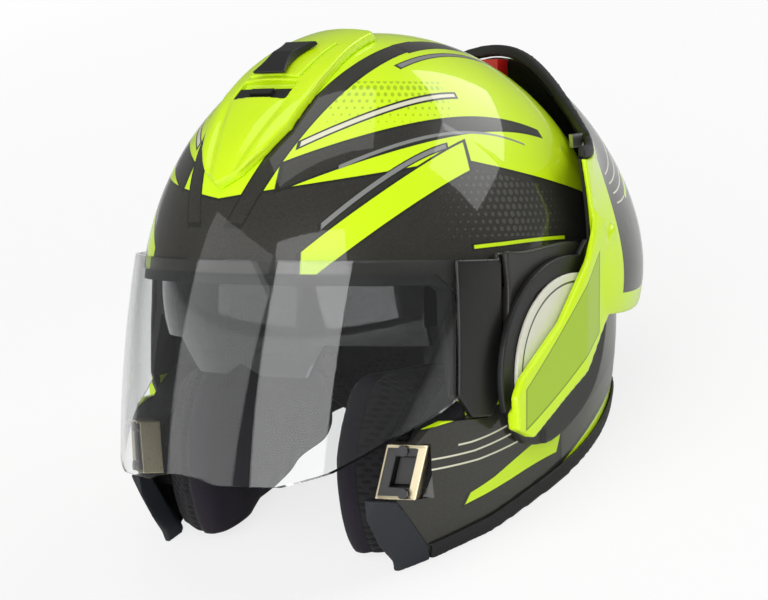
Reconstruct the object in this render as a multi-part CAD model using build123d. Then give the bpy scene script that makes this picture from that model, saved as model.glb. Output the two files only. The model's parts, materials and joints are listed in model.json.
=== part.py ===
from build123d import *
import math
import os

os.makedirs("parts", exist_ok=True)

# Modular helmet, millimetres. It is drawn as worn: +X to the wearer's left, +Y to the back, +Z up,
# with zero at the middle of the head. At the end it is tipped back until its rim rests on the ground.

# Whole shell: an ellipsoid above its widest line, and a squarer jaw and a drawn-in nape below it
shell_half_width = 117.8
shell_front = 135.6
shell_rear = 145.3
shell_top = 145.5
shell_centre_y = -2.2
shell_centre_z = -1.5
shell_wall = 4.0
side_taper_depth = 240.0
nape_taper_depth = 175.0
jaw_square_depth = 60.0
skirt_depth = 142.0
flank_flat = 110.5
crown_power = 2.0
jaw_power = 3.0
section_depth_shares = (0.0, 0.18, 0.36, 0.58, 1.0)
curve_steps = 5

# Rim plane, on which the helmet stands
rim_tilt = 22.0
rim_front_y = -66.0
rim_front_z = -121.0
rim_bead_height = 9.0
rim_bead_proud = 2.0
rim_bead_lip = 3.0

# Face opening, seen from the side
brow_z = 20.0
brow_setback_share = 0.3
brow_corner = 9.0
opening_side_y = -66.0
opening_corner_z = -36.0
cheek_edge_y = -84.0
cheek_edge_z = -52.0
latch_edge_y = -96.0
latch_top_z = -66.0
latch_low_z = -91.0
jaw_back_y = -71.5
jaw_back_z = -116.0
jaw_heel_y = -66.0
jaw_heel_z = -129.0
overrun = 60.0
seal_width = 5.5
seal_inner = 5.0
seal_outer = 1.0
seal_low_z = -40.5
clearance = 0.3

# Foam liner and comfort lining
foam_gap = 0.4
head_half_width = 84.0
head_half_length = 108.5
head_top = 113.0
head_centre_y = 5.3
foam_rim_lift = 24.0
foam_face_setback = 14.0
lining_face_setback = 22.0
cheek_pocket_top_z = -27.0
cheek_pocket_rear_y = 27.0
cheek_pocket_half_width = 84.3
cheek_back_x = 84.0
cheek_face_x = 41.0
cheek_face_forward = 6.0
cheek_centre_y = -33.0
cheek_centre_z = -76.5
cheek_length = 108.0
cheek_height = 96.0
cheek_depth_shares = (1.0, 0.65, 0.3, 0.0)
cheek_size_shares = (0.88, 0.95, 1.0, 0.86)
cheek_outline_shares = (
    (-0.472, 0.276), (-0.537, -0.078), (-0.48, -0.33), (-0.361, -0.455), (-0.25, -0.425),
    (-0.139, -0.297), (0.028, -0.19), (0.306, 0.01), (0.48, 0.151), (0.5, 0.276),
    (0.316, 0.484), (-0.167, 0.5), (-0.395, 0.449),
)
neck_roll_low = 1.0
neck_roll_inner = 24.0
lining_thickness = 9.0
lining_low_z = -26.5

# Rubber covers of the jaw ends
jaw_nose_y = -106.5
jaw_nose_z = -90.5
jaw_lip_y = -104.8
jaw_lip_z = -100.0
jaw_chin_y = -98.0
jaw_chin_z = -112.0
jaw_under_y = -85.0
jaw_under_z = -123.0
jaw_cover_proud = 1.5
jaw_cover_depth = 9.0
jaw_cover_inner_x = 78.0

# Chin strap and its buckle
strap_y = 40.0
strap_width = 22.0
strap_thickness = 2.2
strap_anchor_x = 75.5
strap_anchor_z = -30.0
strap_tab_height = 18.0
strap_rivet_z = -40.0
strap_mid_x = 50.0
strap_mid_z = -63.5
strap_low_z = -69.5
rivet_radius = 4.0
rivet_head_radius = 6.5
rivet_end_x = 103.0
rivet_head_thickness = 1.5
buckle_half_length = 17.0
buckle_wall = 2.0
buckle_height = 7.0
lever_gap = 0.8

# Sun visor, turning on its own axis inside the shell
sun_axis_y = -12.0
sun_axis_z = 8.0
sun_radius = 104.6
sun_side_radius = 64.0
sun_half_width = 91.0
sun_thickness = 2.2
sun_pocket_gap = 2.4
sun_lobe_z = -33.0
sun_notch_z = -26.5
sun_notch_half_width = 12.0
sun_lobe_half_width = 36.0
sun_side_drop_z = -16.0
sun_lift = 38.0
sun_pivot_radius = 3.0
sun_arm_width = 15.0
sun_arm_thickness = 2.4
sun_high_angle = 168.0
sun_low_angle = 206.0
sun_slack_angle = 4.0
sun_room_share = 0.45

# Visor
visor_half_width = 116.0
visor_low_half_width = 112.5
visor_centre_y = -20.0
visor_top_front = 118.5
visor_mid_front = 131.0
visor_low_front = 137.0
visor_thickness = 2.4
visor_top_z = 27.0
visor_mid_z = -30.0
visor_low_z = -90.0
visor_end_y = -64.0
visor_curve_y = -78.0
visor_curve_z = -48.0
visor_run_y = -99.0
visor_run_z = -59.0
visor_chin_y = -124.0
visor_chin_z = -76.0
visor_nose_y = -140.0
visor_nose_z = -83.0
visor_notch_radius = 60.0
visor_notch_depth = 4.0
visor_pin_cap = 1.3
visor_room_top_z = -58.0
visor_room_turns = (0.0, 2.0, 4.0, 6.0)
visor_room_gap = 1.5
recess_gap = 1.0
recess_high_z = 32.0
visor_hinge_y = 24.0
visor_hinge_z = 24.0
visor_pin_radius = 5.0
running_gap = 0.05

# Visor side bracket
bracket_proud = 2.0
bracket_depth = 1.5
bracket_front_y = -70.0
bracket_rear_y = -44.5
bracket_low_z = -51.0
bracket_heel_z = -40.0
bracket_top_over = 3.0
bracket_foot_y = -50.0
bracket_foot_inset = 8.0
bracket_arm_low_z = 14.5
bracket_arm_high_z = 30.0
bracket_arm_x = 110.9
bracket_arm_thickness = 3.1
bracket_eye_radius = 11.0

# Side housing and the hinge of the chin bar
pivot_y = -17.5
pivot_z = 0.0
housing_face = 118.3
housing_pocket = 114.5
housing_pocket_low_z = 12.5
housing_pocket_rear_y = 37.0
pivot_pin_radius = 7.0
pivot_head_radius = 11.0
pivot_head_thickness = 1.4
hub_inner = 118.8
hub_thickness = 3.8
plate_y = 6.0
plate_z = -31.0
plate_radius = 59.0
cover_radius = 50.0
cover_thickness = 2.2
cover_tuck = 5.0
core_tuck = 5.3
housing_size = 60.0
housing_outline_shares = (
    (-0.7, 0.517), (-0.083, 0.558), (0.45, 0.517), (0.7, 0.2), (0.7, -0.25), (0.53, -0.7), (0.167, -1.0),
    (-0.167, -1.125), (-0.45, -1.083), (-0.62, -0.82), (-0.67, -0.42), (-0.7, 0.0), (-0.71, 0.3),
)
channel_depth = 2.0
channel_outline_shares = (
    (-0.66, -0.63), (-0.47, -0.63), (-0.4, -0.9), (-0.2, -1.0), (-0.2, -1.15), (-0.43, -1.13), (-0.6, -1.0),
)

# Chin bar, drawn where it rests at the back of the shell
bar_axis_y = 20.0
bar_side = 120.0
bar_lip_rear = 84.0
bar_lip_power = 1.56
bar_lip_side_z = 83.8
bar_lip_rear_z = 141.5
bar_lip_rise_power = 1.85
bar_low_side_z = -4.0
bar_low_rear_z = 45.0
bar_low_rise_power = 4.0
bar_low_side = 126.0
bar_low_rear = 136.0
bar_mid_side = 126.5
bar_mid_rear = 127.5
bar_high_side = 124.0
bar_high_rear = 108.5
bar_high_power = 0.5
bar_mid_share = 0.38
bar_high_share = 0.75
bar_skin = 3.4
bar_depth_side = 5.0
bar_depth_low = 9.0
bar_depth_mid = 17.0
bar_depth_high = 16.0
bar_depth_lip = 6.5
bar_station_angles = (-90, -72, -54, -36, -18, 0, 18, 36, 54, 72, 90)
lip_trim_height = 7.0
arm_plate_x = 125.4
arm_outer = 130.5
arm_join_y = 46.0
arm_taper_y = 8.0
arm_taper_drop = 3.0
arm_lean_low_z = 22.0
arm_lean_high_z = 77.0
arm_lean_top_x = 120.6
arm_edge_y = -13.0
arm_edge_z = -5.0
arm_edge_angle = 45.0
arm_outline_shares = (
    (-0.85, -0.683), (-0.817, -0.95), (-0.6, -1.033), (-0.133, -0.717), (0.183, -0.517), (0.5, -0.167),
    (0.6, -0.067), (0.767, -0.05), (0.767, 1.28), (0.367, 1.28), (0.367, 1.0), (0.283, 0.7), (0.183, 0.433),
    (-0.217, -0.083), (-0.767, -0.533),
)
tongue_outline_shares = (
    (-0.75, -0.6), (-0.6, -0.95), (-0.133, -0.65), (0.183, -0.47), (0.317, -0.33), (0.317, 0.6),
)
lip_lean = 1.5
lip_seat = 0.5
chin_turn = 172.0

# Latches and release button
striker_width = 25.0
striker_height = 27.0
striker_depth = 12.0
striker_x = 91.0
striker_y = -89.5
striker_z = -76.5
striker_turn = 26.0
striker_pocket_width = 12.0
striker_pocket_height = 15.0
striker_pocket_depth = 8.0
striker_room_front = 8.0
striker_screw_radius = 1.5
striker_screw_head_radius = 2.6
striker_screw_head_height = 1.6
hook_width = 7.0
hook_thickness = 4.0
hook_reach = 7.0
hook_forward = 6.5
hook_turn = 8.0
button_y = 92.7
button_z = 128.3
button_width = 22.0
button_height = 9.0
button_depth = 9.4
button_travel = 3.0
button_room_rise = 1.2

# Vent of the chin bar
vent_y = 138.5
vent_z = 99.5
vent_lean = 28.0
vent_width = 44.0
vent_height = 16.0
vent_proud = 1.0
vent_depth = 4.4
vent_room = 9.0
vent_slats = 3
vent_frame = 3.0
vent_shutter_height = 12.0
vent_shutter_travel = 3.0

# Vents on the crown
cowl_rise = 5.0
cowl_pitch = 47.0
cowl_length = 122.0
cowl_corner = 5.0
cowl_outline_shares = (
    (0.0, -0.414), (0.095, -0.349), (0.175, -0.237), (0.228, -0.1),
    (0.237, 0.06), (0.23, 0.25), (0.18, 0.615),
)
slot_pitch = 51.5
slot_half_width = 18.0
slot_height = 13.0
slot_depth = 4.6
shutter_thickness = 2.0
shutter_travel = 5.0
slider_pitch = 62.0
slider_half_width = 13.5
slider_length = 30.0
slider_thickness = 5.0
slider_travel = 9.0
track_half_width = 17.0
track_length = 34.0
track_thickness = 2.8
track_proud = 0.8
slider_stem = 5.0
slider_stem_depth = 2.6
slider_tail_share = 0.5
slider_nose_share = 0.35


def drop(depth, taper):
    """How much of its width the form keeps at a distance from its widest line."""
    return math.sqrt(1 - (depth / taper) ** 2)


def quarter_curve(half_width, length, power, x_sign, y_sign, z):
    """One rounded corner of a level section, from its side to its front or back."""
    points = []
    for step in range(curve_steps + 1):
        angle = math.pi / 2 * step / curve_steps
        x = x_sign * half_width * math.cos(angle) ** (2 / power)
        y = y_sign * length * math.sin(angle) ** (2 / power)
        points.append(Vector(x, y + shell_centre_y, z))
    tangents = [Vector(0, y_sign, 0), Vector(-x_sign, 0, 0)]
    if x_sign * y_sign < 0:
        points.reverse()
        tangents = [Vector(x_sign, 0, 0), Vector(0, -y_sign, 0)]
    return Spline(*points, tangents=tangents)


def level_section(inset, depth):
    """A level section of the lower shell, at a depth below its widest line."""
    half_width = (shell_half_width - inset) * drop(depth, side_taper_depth)
    front = (shell_front - inset) * drop(depth, side_taper_depth)
    rear = (shell_rear - inset) * drop(depth, nape_taper_depth)
    z = shell_centre_z - depth
    if depth == 0:
        middle = (0, shell_centre_y, z)
        arcs = [
            EllipticalCenterArc(middle, half_width, length, start_angle=start, arc_size=90)
            for start, length in ((0, rear), (90, rear), (180, front), (270, front))
        ]
        return Face(Wire(arcs))
    share = min(depth / jaw_square_depth, 1.0)
    power = crown_power + (jaw_power - crown_power) * share * share * (3 - 2 * share)
    corners = [(1, 1, rear, crown_power), (-1, 1, rear, crown_power)]
    corners += [(-1, -1, front, power), (1, -1, front, power)]
    return Face(Wire([quarter_curve(half_width, length, p, sx, sy, z) for sx, sy, length, p in corners]))


def skull(inset):
    """The solid inside the shell's outer surface, moved in by the inset."""
    quarter = Sphere(1, arc_size1=0, arc_size2=90, arc_size3=180, align=None)
    half_width = shell_half_width - inset
    height = shell_top - inset
    rear = scale(quarter, by=(half_width, shell_rear - inset, height))
    front = scale(Rot(0, 0, 180) * quarter, by=(half_width, shell_front - inset, height))
    dome = Pos(0, shell_centre_y, shell_centre_z) * (rear + front)
    lower = loft([level_section(inset, share * skirt_depth) for share in section_depth_shares])
    return dome + lower


def slab(half_width):
    """A block that keeps what lies within a half width of the middle."""
    span = 4 * shell_rear
    return Box(2 * half_width, span, span)


def side_prism(points, low_x, high_x):
    """An outline drawn in the side view, made solid between two distances from the middle."""
    face = Plane.YZ.offset(low_x) * make_face(Polyline(*points, close=True))
    return extrude(face, high_x - low_x)


def both_sides(solid):
    return solid, mirror(solid, about=Plane.YZ)


def rod(y, z, radius, low_x, high_x):
    """A round bar along X."""
    return Pos((low_x + high_x) / 2, y, z) * Rot(0, 90, 0) * Cylinder(radius, high_x - low_x)


# The helmet as it stands: tipped back about X, with the rim plane at zero height
tip = Rot(-rim_tilt, 0, 0)
rim_drop = -rim_front_y * math.sin(math.radians(rim_tilt)) + rim_front_z * math.cos(math.radians(rim_tilt))
stand = Pos(0, 0, -rim_drop) * tip


def rim_band(low, high):
    """What lies between two heights above the rim plane."""
    span = 4 * shell_rear
    return stand.inverse() * Pos(0, 0, (low + high) / 2) * Box(span, span, high - low)


far = 2 * shell_rear
skull_outer = skull(0)
skull_inner = skull(shell_wall)
flat_outer = skull_outer & slab(flank_flat)


def opening(setback):
    """The face opening, seen from the side, moved back and up by a setback."""
    rise = setback * brow_setback_share
    return [
        (-far, brow_z + rise),
        (opening_side_y - brow_corner + setback, brow_z + rise),
        (opening_side_y + setback, brow_z - brow_corner + rise),
        (opening_side_y + setback, opening_corner_z),
        (cheek_edge_y + setback, cheek_edge_z),
        (latch_edge_y + setback, latch_top_z),
        (latch_edge_y + setback, latch_low_z),
        (jaw_back_y + setback, jaw_back_z),
        (jaw_heel_y + setback, jaw_heel_z),
        (jaw_heel_y + setback, -far),
        (-far, -far),
    ]


face_cut = side_prism(opening(0), -far, far)


def striker_place(forward):
    """The place of one latch striker, with -Y facing the hook, moved forward by a length."""
    return Pos(striker_x, striker_y, striker_z) * Rot(0, 0, striker_turn) * Pos(0, -forward, 0)


def striker_room():
    """The room of a striker, of its screw heads and of the hook in front of it."""
    depth = striker_depth + striker_room_front + 2 * clearance
    box = Box(striker_width + 2 * clearance, depth, striker_height + 2 * clearance)
    return striker_place(striker_room_front / 2) * box


def visor_recess():
    """What has to go from the shell where the lower ends of the visor and its brackets sit against it."""
    outline = [
        (-far, recess_high_z),
        (bracket_rear_y + recess_gap, recess_high_z),
        (bracket_rear_y + recess_gap, bracket_heel_z - recess_gap),
        (bracket_foot_y + recess_gap, bracket_low_z - recess_gap),
        (visor_curve_y, bracket_low_z - recess_gap),
        (visor_run_y, visor_run_z - recess_gap),
        (-far, visor_run_z - recess_gap),
    ]
    inset = visor_thickness + clearance
    top = Ellipse(visor_half_width - inset, visor_top_front - inset)
    above = Pos(0, visor_centre_y, visor_top_z) * extrude(top, recess_high_z)
    return side_prism(outline, -far, far) - visor_form(inset) - above


def outer_shell():
    body = flat_outer - (skull_inner & slab(flank_flat - shell_wall))
    body = body & rim_band(rim_bead_lip, far)
    body = body - face_cut - visor_recess()
    visor_hole = rod(visor_hinge_y, visor_hinge_z, visor_pin_radius + clearance, head_half_width, far)
    bar_hole = rod(pivot_y, pivot_z, pivot_pin_radius + clearance, head_half_width, far)
    for room in (striker_room(), visor_hole, bar_hole):
        for side in both_sides(room):
            body = body - side
    return body


def rim_trim():
    """A rubber bead round the lower edge: it stands proud outside and closes the edge from below."""
    ring = skull(-rim_bead_proud) & rim_band(0, rim_bead_height)
    ring = ring - (skull(shell_wall + rim_bead_proud) & rim_band(0, rim_bead_height))
    ring = ring - (skull_outer & rim_band(rim_bead_lip, far))
    return ring - face_cut


def eyeport_seal():
    """A rubber strip along the brow and the sides of the face opening."""
    outside = [
        (-far, brow_z),
        (opening_side_y - brow_corner, brow_z),
        (opening_side_y, brow_z - brow_corner),
        (opening_side_y, opening_corner_z),
    ]
    inside = [
        (opening_side_y - seal_width, seal_low_z),
        (opening_side_y - seal_width, brow_z - brow_corner),
        (opening_side_y - brow_corner, brow_z - seal_width),
        (-far, brow_z - seal_width),
    ]
    band = skull(seal_outer) - skull(seal_inner)
    return (band & side_prism(outside + inside, -far, far)) - visor_recess()


def head_form(inset):
    """The space that a head and its lining take, from the crown down past the rim."""
    half_width = head_half_width - inset
    half_length = head_half_length - inset
    quarter = Sphere(1, arc_size1=0, arc_size2=90, align=None)
    dome = scale(quarter, by=(half_width, half_length, head_top - inset))
    neck = extrude(Ellipse(half_width, half_length), -far)
    return Pos(0, head_centre_y, 0) * (dome + neck)


def sun_ring(grow, low_angle, high_angle, side_grow):
    """A stretch of the sun visor's form, turned about its axis."""
    x = sun_half_width + side_grow
    outer = ThreePointArc((-x, sun_side_radius + grow), (0, sun_radius + grow), (x, sun_side_radius + grow))
    inner_grow = -sun_thickness - grow
    side_radius = sun_side_radius + inner_grow
    inner = ThreePointArc((x, side_radius), (0, sun_radius + inner_grow), (-x, side_radius))
    sides = [Line(outer @ 1, inner @ 0), Line(inner @ 1, outer @ 0)]
    ring = revolve(make_face([outer, sides[0], inner, sides[1]]), Axis.X, high_angle - low_angle)
    return Pos(0, sun_axis_y, sun_axis_z) * Rot(low_angle, 0, 0) * ring


def sun_visor():
    body = sun_ring(0, sun_high_angle, sun_low_angle, 0)
    below = [
        (-far, sun_side_drop_z),
        (-sun_lobe_half_width - sun_notch_half_width, sun_side_drop_z),
        (-sun_lobe_half_width, sun_lobe_z),
        (-sun_notch_half_width, sun_lobe_z),
        (0, sun_notch_z),
        (sun_notch_half_width, sun_lobe_z),
        (sun_lobe_half_width, sun_lobe_z),
        (sun_lobe_half_width + sun_notch_half_width, sun_side_drop_z),
        (far, sun_side_drop_z),
        (far, -far),
        (-far, -far),
    ]
    body = body - extrude(Plane.XZ * make_face(Polyline(*below, close=True)), far)
    arm_half = sun_arm_width / 2
    reach = sun_side_radius
    arm = [(arm_half, -arm_half), (arm_half, arm_half), (-reach, arm_half), (-reach, -arm_half - arm_half)]
    for side in both_sides(side_prism(arm, sun_half_width - sun_arm_thickness, sun_half_width)):
        body = body + Pos(0, sun_axis_y, sun_axis_z) * side
    hole = rod(sun_axis_y, sun_axis_z, sun_pivot_radius + running_gap, head_half_width, far)
    for side in both_sides(hole):
        body = body - side
    return body


def sun_visor_pins():
    low_x = sun_half_width - sun_arm_thickness
    pin = rod(sun_axis_y, sun_axis_z, sun_pivot_radius, low_x, flank_flat - shell_wall)
    return Compound(children=list(both_sides(pin)))


def foam_liner():
    """The impact foam: it fills the shell down to the head, round the sun visor and the cheek pads."""
    body = skull(shell_wall + foam_gap) & slab(flank_flat - shell_wall - foam_gap)
    body = body - head_form(0)
    body = body & rim_band(foam_rim_lift, far)
    body = body - side_prism(opening(foam_face_setback), -far, far)
    raised_angle = sun_high_angle - sun_lift - sun_slack_angle
    body = body - sun_ring(sun_pocket_gap, raised_angle, sun_low_angle + sun_slack_angle, sun_pocket_gap)
    reach = sun_side_radius + sun_pocket_gap
    swing = sun_arm_width
    room = [(swing, -swing), (swing, swing), (-reach * sun_room_share, reach)]
    room += [(-reach, reach * sun_room_share), (-reach, -swing - swing)]
    half = sun_half_width + sun_pocket_gap
    for side in both_sides(side_prism(room, head_half_width - sun_pocket_gap, half)):
        body = body - Pos(0, sun_axis_y, sun_axis_z) * side
    cheek_room = [
        (-far, cheek_pocket_top_z),
        (cheek_pocket_rear_y, cheek_pocket_top_z),
        (cheek_pocket_rear_y, -far),
        (-far, -far),
    ]
    body = body - side_prism(cheek_room, -cheek_pocket_half_width, cheek_pocket_half_width)
    sun_hole = rod(sun_axis_y, sun_axis_z, sun_pivot_radius + clearance, head_half_width, far)
    rivet_hole = rod(strap_y, strap_rivet_z, rivet_radius + clearance, strap_anchor_x, far)
    for room in (sun_hole, rivet_hole, striker_room()):
        for side in both_sides(room):
            body = body - side
    return body


def crown_lining():
    """The comfort lining of the crown, open to the face."""
    body = head_form(clearance) - head_form(lining_thickness)
    body = body - side_prism(opening(lining_face_setback), -far, far)
    block = Pos(0, 0, lining_low_z - far) * Box(2 * far, 2 * far, 2 * far)
    return body - block


def cheek_pad():
    """One cheek cushion: lofted from its back plate to its crowned face, drawn in at both."""
    sections = []
    for x_share, size in zip(cheek_depth_shares, cheek_size_shares):
        x = cheek_face_x + (cheek_back_x - cheek_face_x) * x_share
        middle_y = cheek_centre_y - cheek_face_forward * (1 - x_share)
        points = [
            (middle_y + y * cheek_length * size, cheek_centre_z + z * cheek_height * size)
            for y, z in cheek_outline_shares
        ]
        sections.append(Plane.YZ.offset(x) * make_face(Spline(*points, periodic=True)))
    return loft(sections)


def neck_roll():
    """The padded collar behind the neck."""
    band = skull(shell_wall + rim_bead_proud + clearance) & rim_band(neck_roll_low, foam_rim_lift - clearance)
    band = band - (skull(neck_roll_inner) & rim_band(0, far))
    return band - Pos(0, cheek_pocket_rear_y + clearance - far, 0) * Box(2 * far, 2 * far, 2 * far)


def jaw_cover():
    """The moulded rubber cover of one jaw end, wrapped round the shell's front lower corner."""
    outline = [
        (latch_edge_y - clearance, latch_low_z),
        (jaw_nose_y, jaw_nose_z),
        (jaw_lip_y, jaw_lip_z),
        (jaw_chin_y, jaw_chin_z),
        (jaw_under_y, jaw_under_z),
        (rim_front_y, rim_front_z - overrun),
        (jaw_heel_y - clearance, jaw_heel_z - overrun),
        (jaw_heel_y - clearance, jaw_heel_z),
        (jaw_back_y - clearance, jaw_back_z),
    ]
    wrap = skull(-jaw_cover_proud) - skull(jaw_cover_depth)
    cover = wrap & side_prism(outline, jaw_cover_inner_x, far) & rim_band(0, far)
    return cover


def visor_form(inset):
    """The solid inside the visor's outer surface: level ellipses that widen downwards."""
    levels = [
        (visor_top_z, visor_half_width, visor_top_front),
        (visor_mid_z, visor_half_width, visor_mid_front),
        (visor_low_z, visor_low_half_width, visor_low_front),
    ]
    sections = []
    for z, half_width, front in levels:
        sections.append(Pos(0, visor_centre_y, z) * Ellipse(half_width - inset, front - inset))
    return loft(sections)


def visor():
    outline = [
        (-far, visor_top_z),
        (visor_end_y, visor_top_z),
        (visor_end_y - visor_thickness, bracket_heel_z),
        (visor_curve_y, visor_curve_z),
        (visor_run_y, visor_run_z),
        (visor_chin_y, visor_chin_z),
        (visor_nose_y, visor_nose_z),
        (-far, visor_nose_z),
    ]
    body = (visor_form(0) - visor_form(visor_thickness)) & side_prism(outline, -far, far)
    notch = Pos(0, visor_nose_y, visor_nose_z - visor_notch_radius + visor_notch_depth) * Rot(90, 0, 0)
    return body - notch * Cylinder(visor_notch_radius, far)


def bracket_outline(gap):
    """The side bracket, seen from the side, with its foot below and its arm back to the hinge."""
    return [
        (bracket_front_y - gap, visor_top_z + bracket_top_over + gap),
        (bracket_rear_y + gap, visor_top_z + bracket_top_over + gap),
        (bracket_rear_y + gap, bracket_heel_z),
        (bracket_foot_y + gap, bracket_low_z - gap),
        (bracket_front_y + bracket_foot_inset - gap, bracket_low_z - gap),
        (bracket_front_y - gap, bracket_heel_z),
    ]


def visor_bracket(lens):
    """The frame at one end of the visor, with the arm that turns on the hinge pin."""
    band = visor_form(-bracket_proud) - visor_form(bracket_depth)
    body = band & side_prism(bracket_outline(0), 0, far)
    arm = [
        (bracket_rear_y - bracket_depth, bracket_arm_low_z),
        (visor_hinge_y, bracket_arm_low_z),
        (visor_hinge_y, bracket_arm_high_z),
        (bracket_rear_y - bracket_depth, bracket_arm_high_z),
    ]
    high_x = bracket_arm_x + bracket_arm_thickness
    body = body + side_prism(arm, bracket_arm_x, high_x)
    body = body + rod(visor_hinge_y, visor_hinge_z, bracket_eye_radius, bracket_arm_x, high_x)
    body = body - rod(visor_hinge_y, visor_hinge_z, visor_pin_radius + running_gap, head_half_width, far)
    return body - lens


def visor_pins():
    end_x = housing_face - visor_pin_cap
    pin = rod(visor_hinge_y, visor_hinge_z, visor_pin_radius, flank_flat - shell_wall, end_x)
    return Compound(children=list(both_sides(pin)))


def scaled(shares, size):
    return [(y * size, z * size) for y, z in shares]


def pivot_housing():
    """The side housing: a raised cap on the flat of the shell, open in front and above for the arm."""
    outline = scaled(housing_outline_shares, housing_size)
    face = Plane.YZ.offset(head_half_width) * make_face(Spline(*outline, periodic=True))
    body = extrude(face, housing_face - head_half_width)
    body = body - flat_outer
    pocket = [
        (-far, housing_pocket_low_z),
        (housing_pocket_rear_y, housing_pocket_low_z),
        (housing_pocket_rear_y, far),
        (-far, far),
    ]
    body = body - side_prism(pocket, head_half_width, housing_pocket)
    pin_end = housing_face - visor_pin_cap
    body = body - rod(visor_hinge_y, visor_hinge_z, visor_pin_radius + clearance, head_half_width, pin_end)
    body = body - rod(pivot_y, pivot_z, pivot_pin_radius + clearance, head_half_width, far)
    channel = side_prism(scaled(channel_outline_shares, housing_size), housing_face - channel_depth, far)
    return body - channel


def pivot_pins():
    """The shoulder bolts that the chin bar turns on."""
    head_low = hub_inner + hub_thickness - pivot_head_thickness
    pin = rod(pivot_y, pivot_z, pivot_pin_radius, flank_flat - shell_wall, head_low)
    head = rod(pivot_y, pivot_z, pivot_head_radius, head_low, head_low + pivot_head_thickness)
    return Compound(children=list(both_sides(pin + head)))


def arm_side_of_line(inset, low_x, high_x):
    """A block that holds what lies behind the arm's front edge, moved in by an inset."""
    block = Box(high_x - low_x, 2 * far, 2 * far)
    shift = Pos((low_x + high_x) / 2, arm_edge_y, arm_edge_z) * Rot(arm_edge_angle, 0, 0)
    return shift * Pos(0, 0, -far - inset) * block


def pivot_plate():
    """The hub of one arm: a plate on the shoulder bolt, round in front, with its tail under the arm."""
    high_x = hub_inner + hub_thickness
    body = rod(plate_y, plate_z, plate_radius, hub_inner, high_x)
    body = body - arm_side_of_line(core_tuck, hub_inner, high_x)
    body = body + side_prism(scaled(tongue_outline_shares, housing_size), hub_inner, high_x)
    body = body - Pos(0, bar_axis_y - clearance + far, 0) * Box(far, 2 * far, far)
    body = body - rod(pivot_y, pivot_z, pivot_pin_radius + running_gap, head_half_width, far)
    seat = high_x - pivot_head_thickness - running_gap
    return body - rod(pivot_y, pivot_z, pivot_head_radius + clearance, seat, far)


def pivot_cover():
    """The smooth cover over the hub, tucked under the arm's front edge."""
    low_x = hub_inner + hub_thickness
    body = rod(plate_y, plate_z, cover_radius, low_x, low_x + cover_thickness)
    body = body - rod(pivot_y, pivot_z, pivot_head_radius + clearance, low_x - clearance, low_x + clearance)
    return body - arm_side_of_line(cover_tuck, low_x, low_x + cover_thickness)


def lip_radius(angle):
    """How far the chin bar's lip stands from its own upright axis, at an angle from the back."""
    side = abs(math.sin(angle)) / bar_side
    rear = abs(math.cos(angle)) / bar_lip_rear
    return (side ** bar_lip_power + rear ** bar_lip_power) ** (-1 / bar_lip_power)


def bar_levels(angle):
    """The chin bar's outer surface at an angle: its low edge, its two swells and its lip."""
    c = max(math.cos(angle), 0)
    low_z = bar_low_side_z + (bar_low_rear_z - bar_low_side_z) * c ** bar_low_rise_power
    lip_z = bar_lip_side_z + (bar_lip_rear_z - bar_lip_side_z) * c ** bar_lip_rise_power - lip_trim_height
    low = bar_low_side + (bar_low_rear - bar_low_side) * c ** bar_low_rise_power
    mid = bar_mid_side + (bar_mid_rear - bar_mid_side) * c
    high = bar_high_side + (bar_high_rear - bar_high_side) * c ** bar_high_power
    rise = lip_z - low_z
    return [
        (low, low_z),
        (mid, low_z + rise * bar_mid_share),
        (high, low_z + rise * bar_high_share),
        (lip_radius(angle), lip_z),
    ]


def bar_depths(angle):
    """How deep the chin bar is behind each of those four levels."""
    c = max(math.cos(angle), 0)
    rear = (bar_depth_low, bar_depth_mid, bar_depth_high, bar_depth_lip)
    return [bar_depth_side + (depth - bar_depth_side) * c * c for depth in rear]


def bar_section(angle, outer, inner):
    """One upright section of the chin bar between two curves, each given by radius and height."""
    s = math.sin(angle)
    c = math.cos(angle)
    plane = Plane(origin=(0, bar_axis_y, 0), x_dir=(s, c, 0), z_dir=(c, -s, 0))
    out_curve = Spline(*outer)
    in_curve = Spline(*reversed(inner))
    ends = [Line(outer[-1], inner[-1]), Line(inner[0], outer[0])]
    return plane * make_face([out_curve, ends[0], in_curve, ends[1]])


def bar_loft(inner_share, outer_share):
    """A skin of the chin bar between two shares of its depth."""
    sections = []
    for degrees in bar_station_angles:
        angle = math.radians(degrees)
        levels = bar_levels(angle)
        depths = bar_depths(angle)
        outer = [(r - outer_share(d), z) for (r, z), d in zip(levels, depths)]
        inner = [(r - inner_share(d), z) for (r, z), d in zip(levels, depths)]
        sections.append(bar_section(angle, outer, inner))
    return loft(sections)


def chin_arm():
    """One arm of the chin bar, from its tail by the jaw to the side of the bar."""
    outline = scaled(arm_outline_shares, housing_size)
    body = side_prism(outline, arm_plate_x, arm_outer)
    core_low = hub_inner + hub_thickness
    core = side_prism(outline, core_low, arm_plate_x) & arm_side_of_line(core_tuck, core_low, arm_plate_x)
    taper = [
        (arm_outer, arm_taper_y),
        (arm_outer + overrun, arm_taper_y),
        (arm_outer + overrun, arm_join_y + overrun),
        (arm_plate_x - arm_taper_drop, arm_join_y + overrun),
        (arm_plate_x - arm_taper_drop, arm_join_y),
    ]
    wedge = Pos(0, 0, -far) * extrude(make_face(Polyline(*taper, close=True)), 2 * far)
    lean = [
        (arm_outer, arm_lean_low_z),
        (arm_lean_top_x, arm_lean_high_z),
        (arm_lean_top_x, arm_lean_high_z + overrun),
        (arm_outer + overrun, arm_lean_high_z + overrun),
        (arm_outer + overrun, arm_lean_low_z),
    ]
    cut = extrude(Plane.XZ.offset(-far) * make_face(Polyline(*lean, close=True)), 2 * far)
    return body + core - wedge - cut


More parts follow.
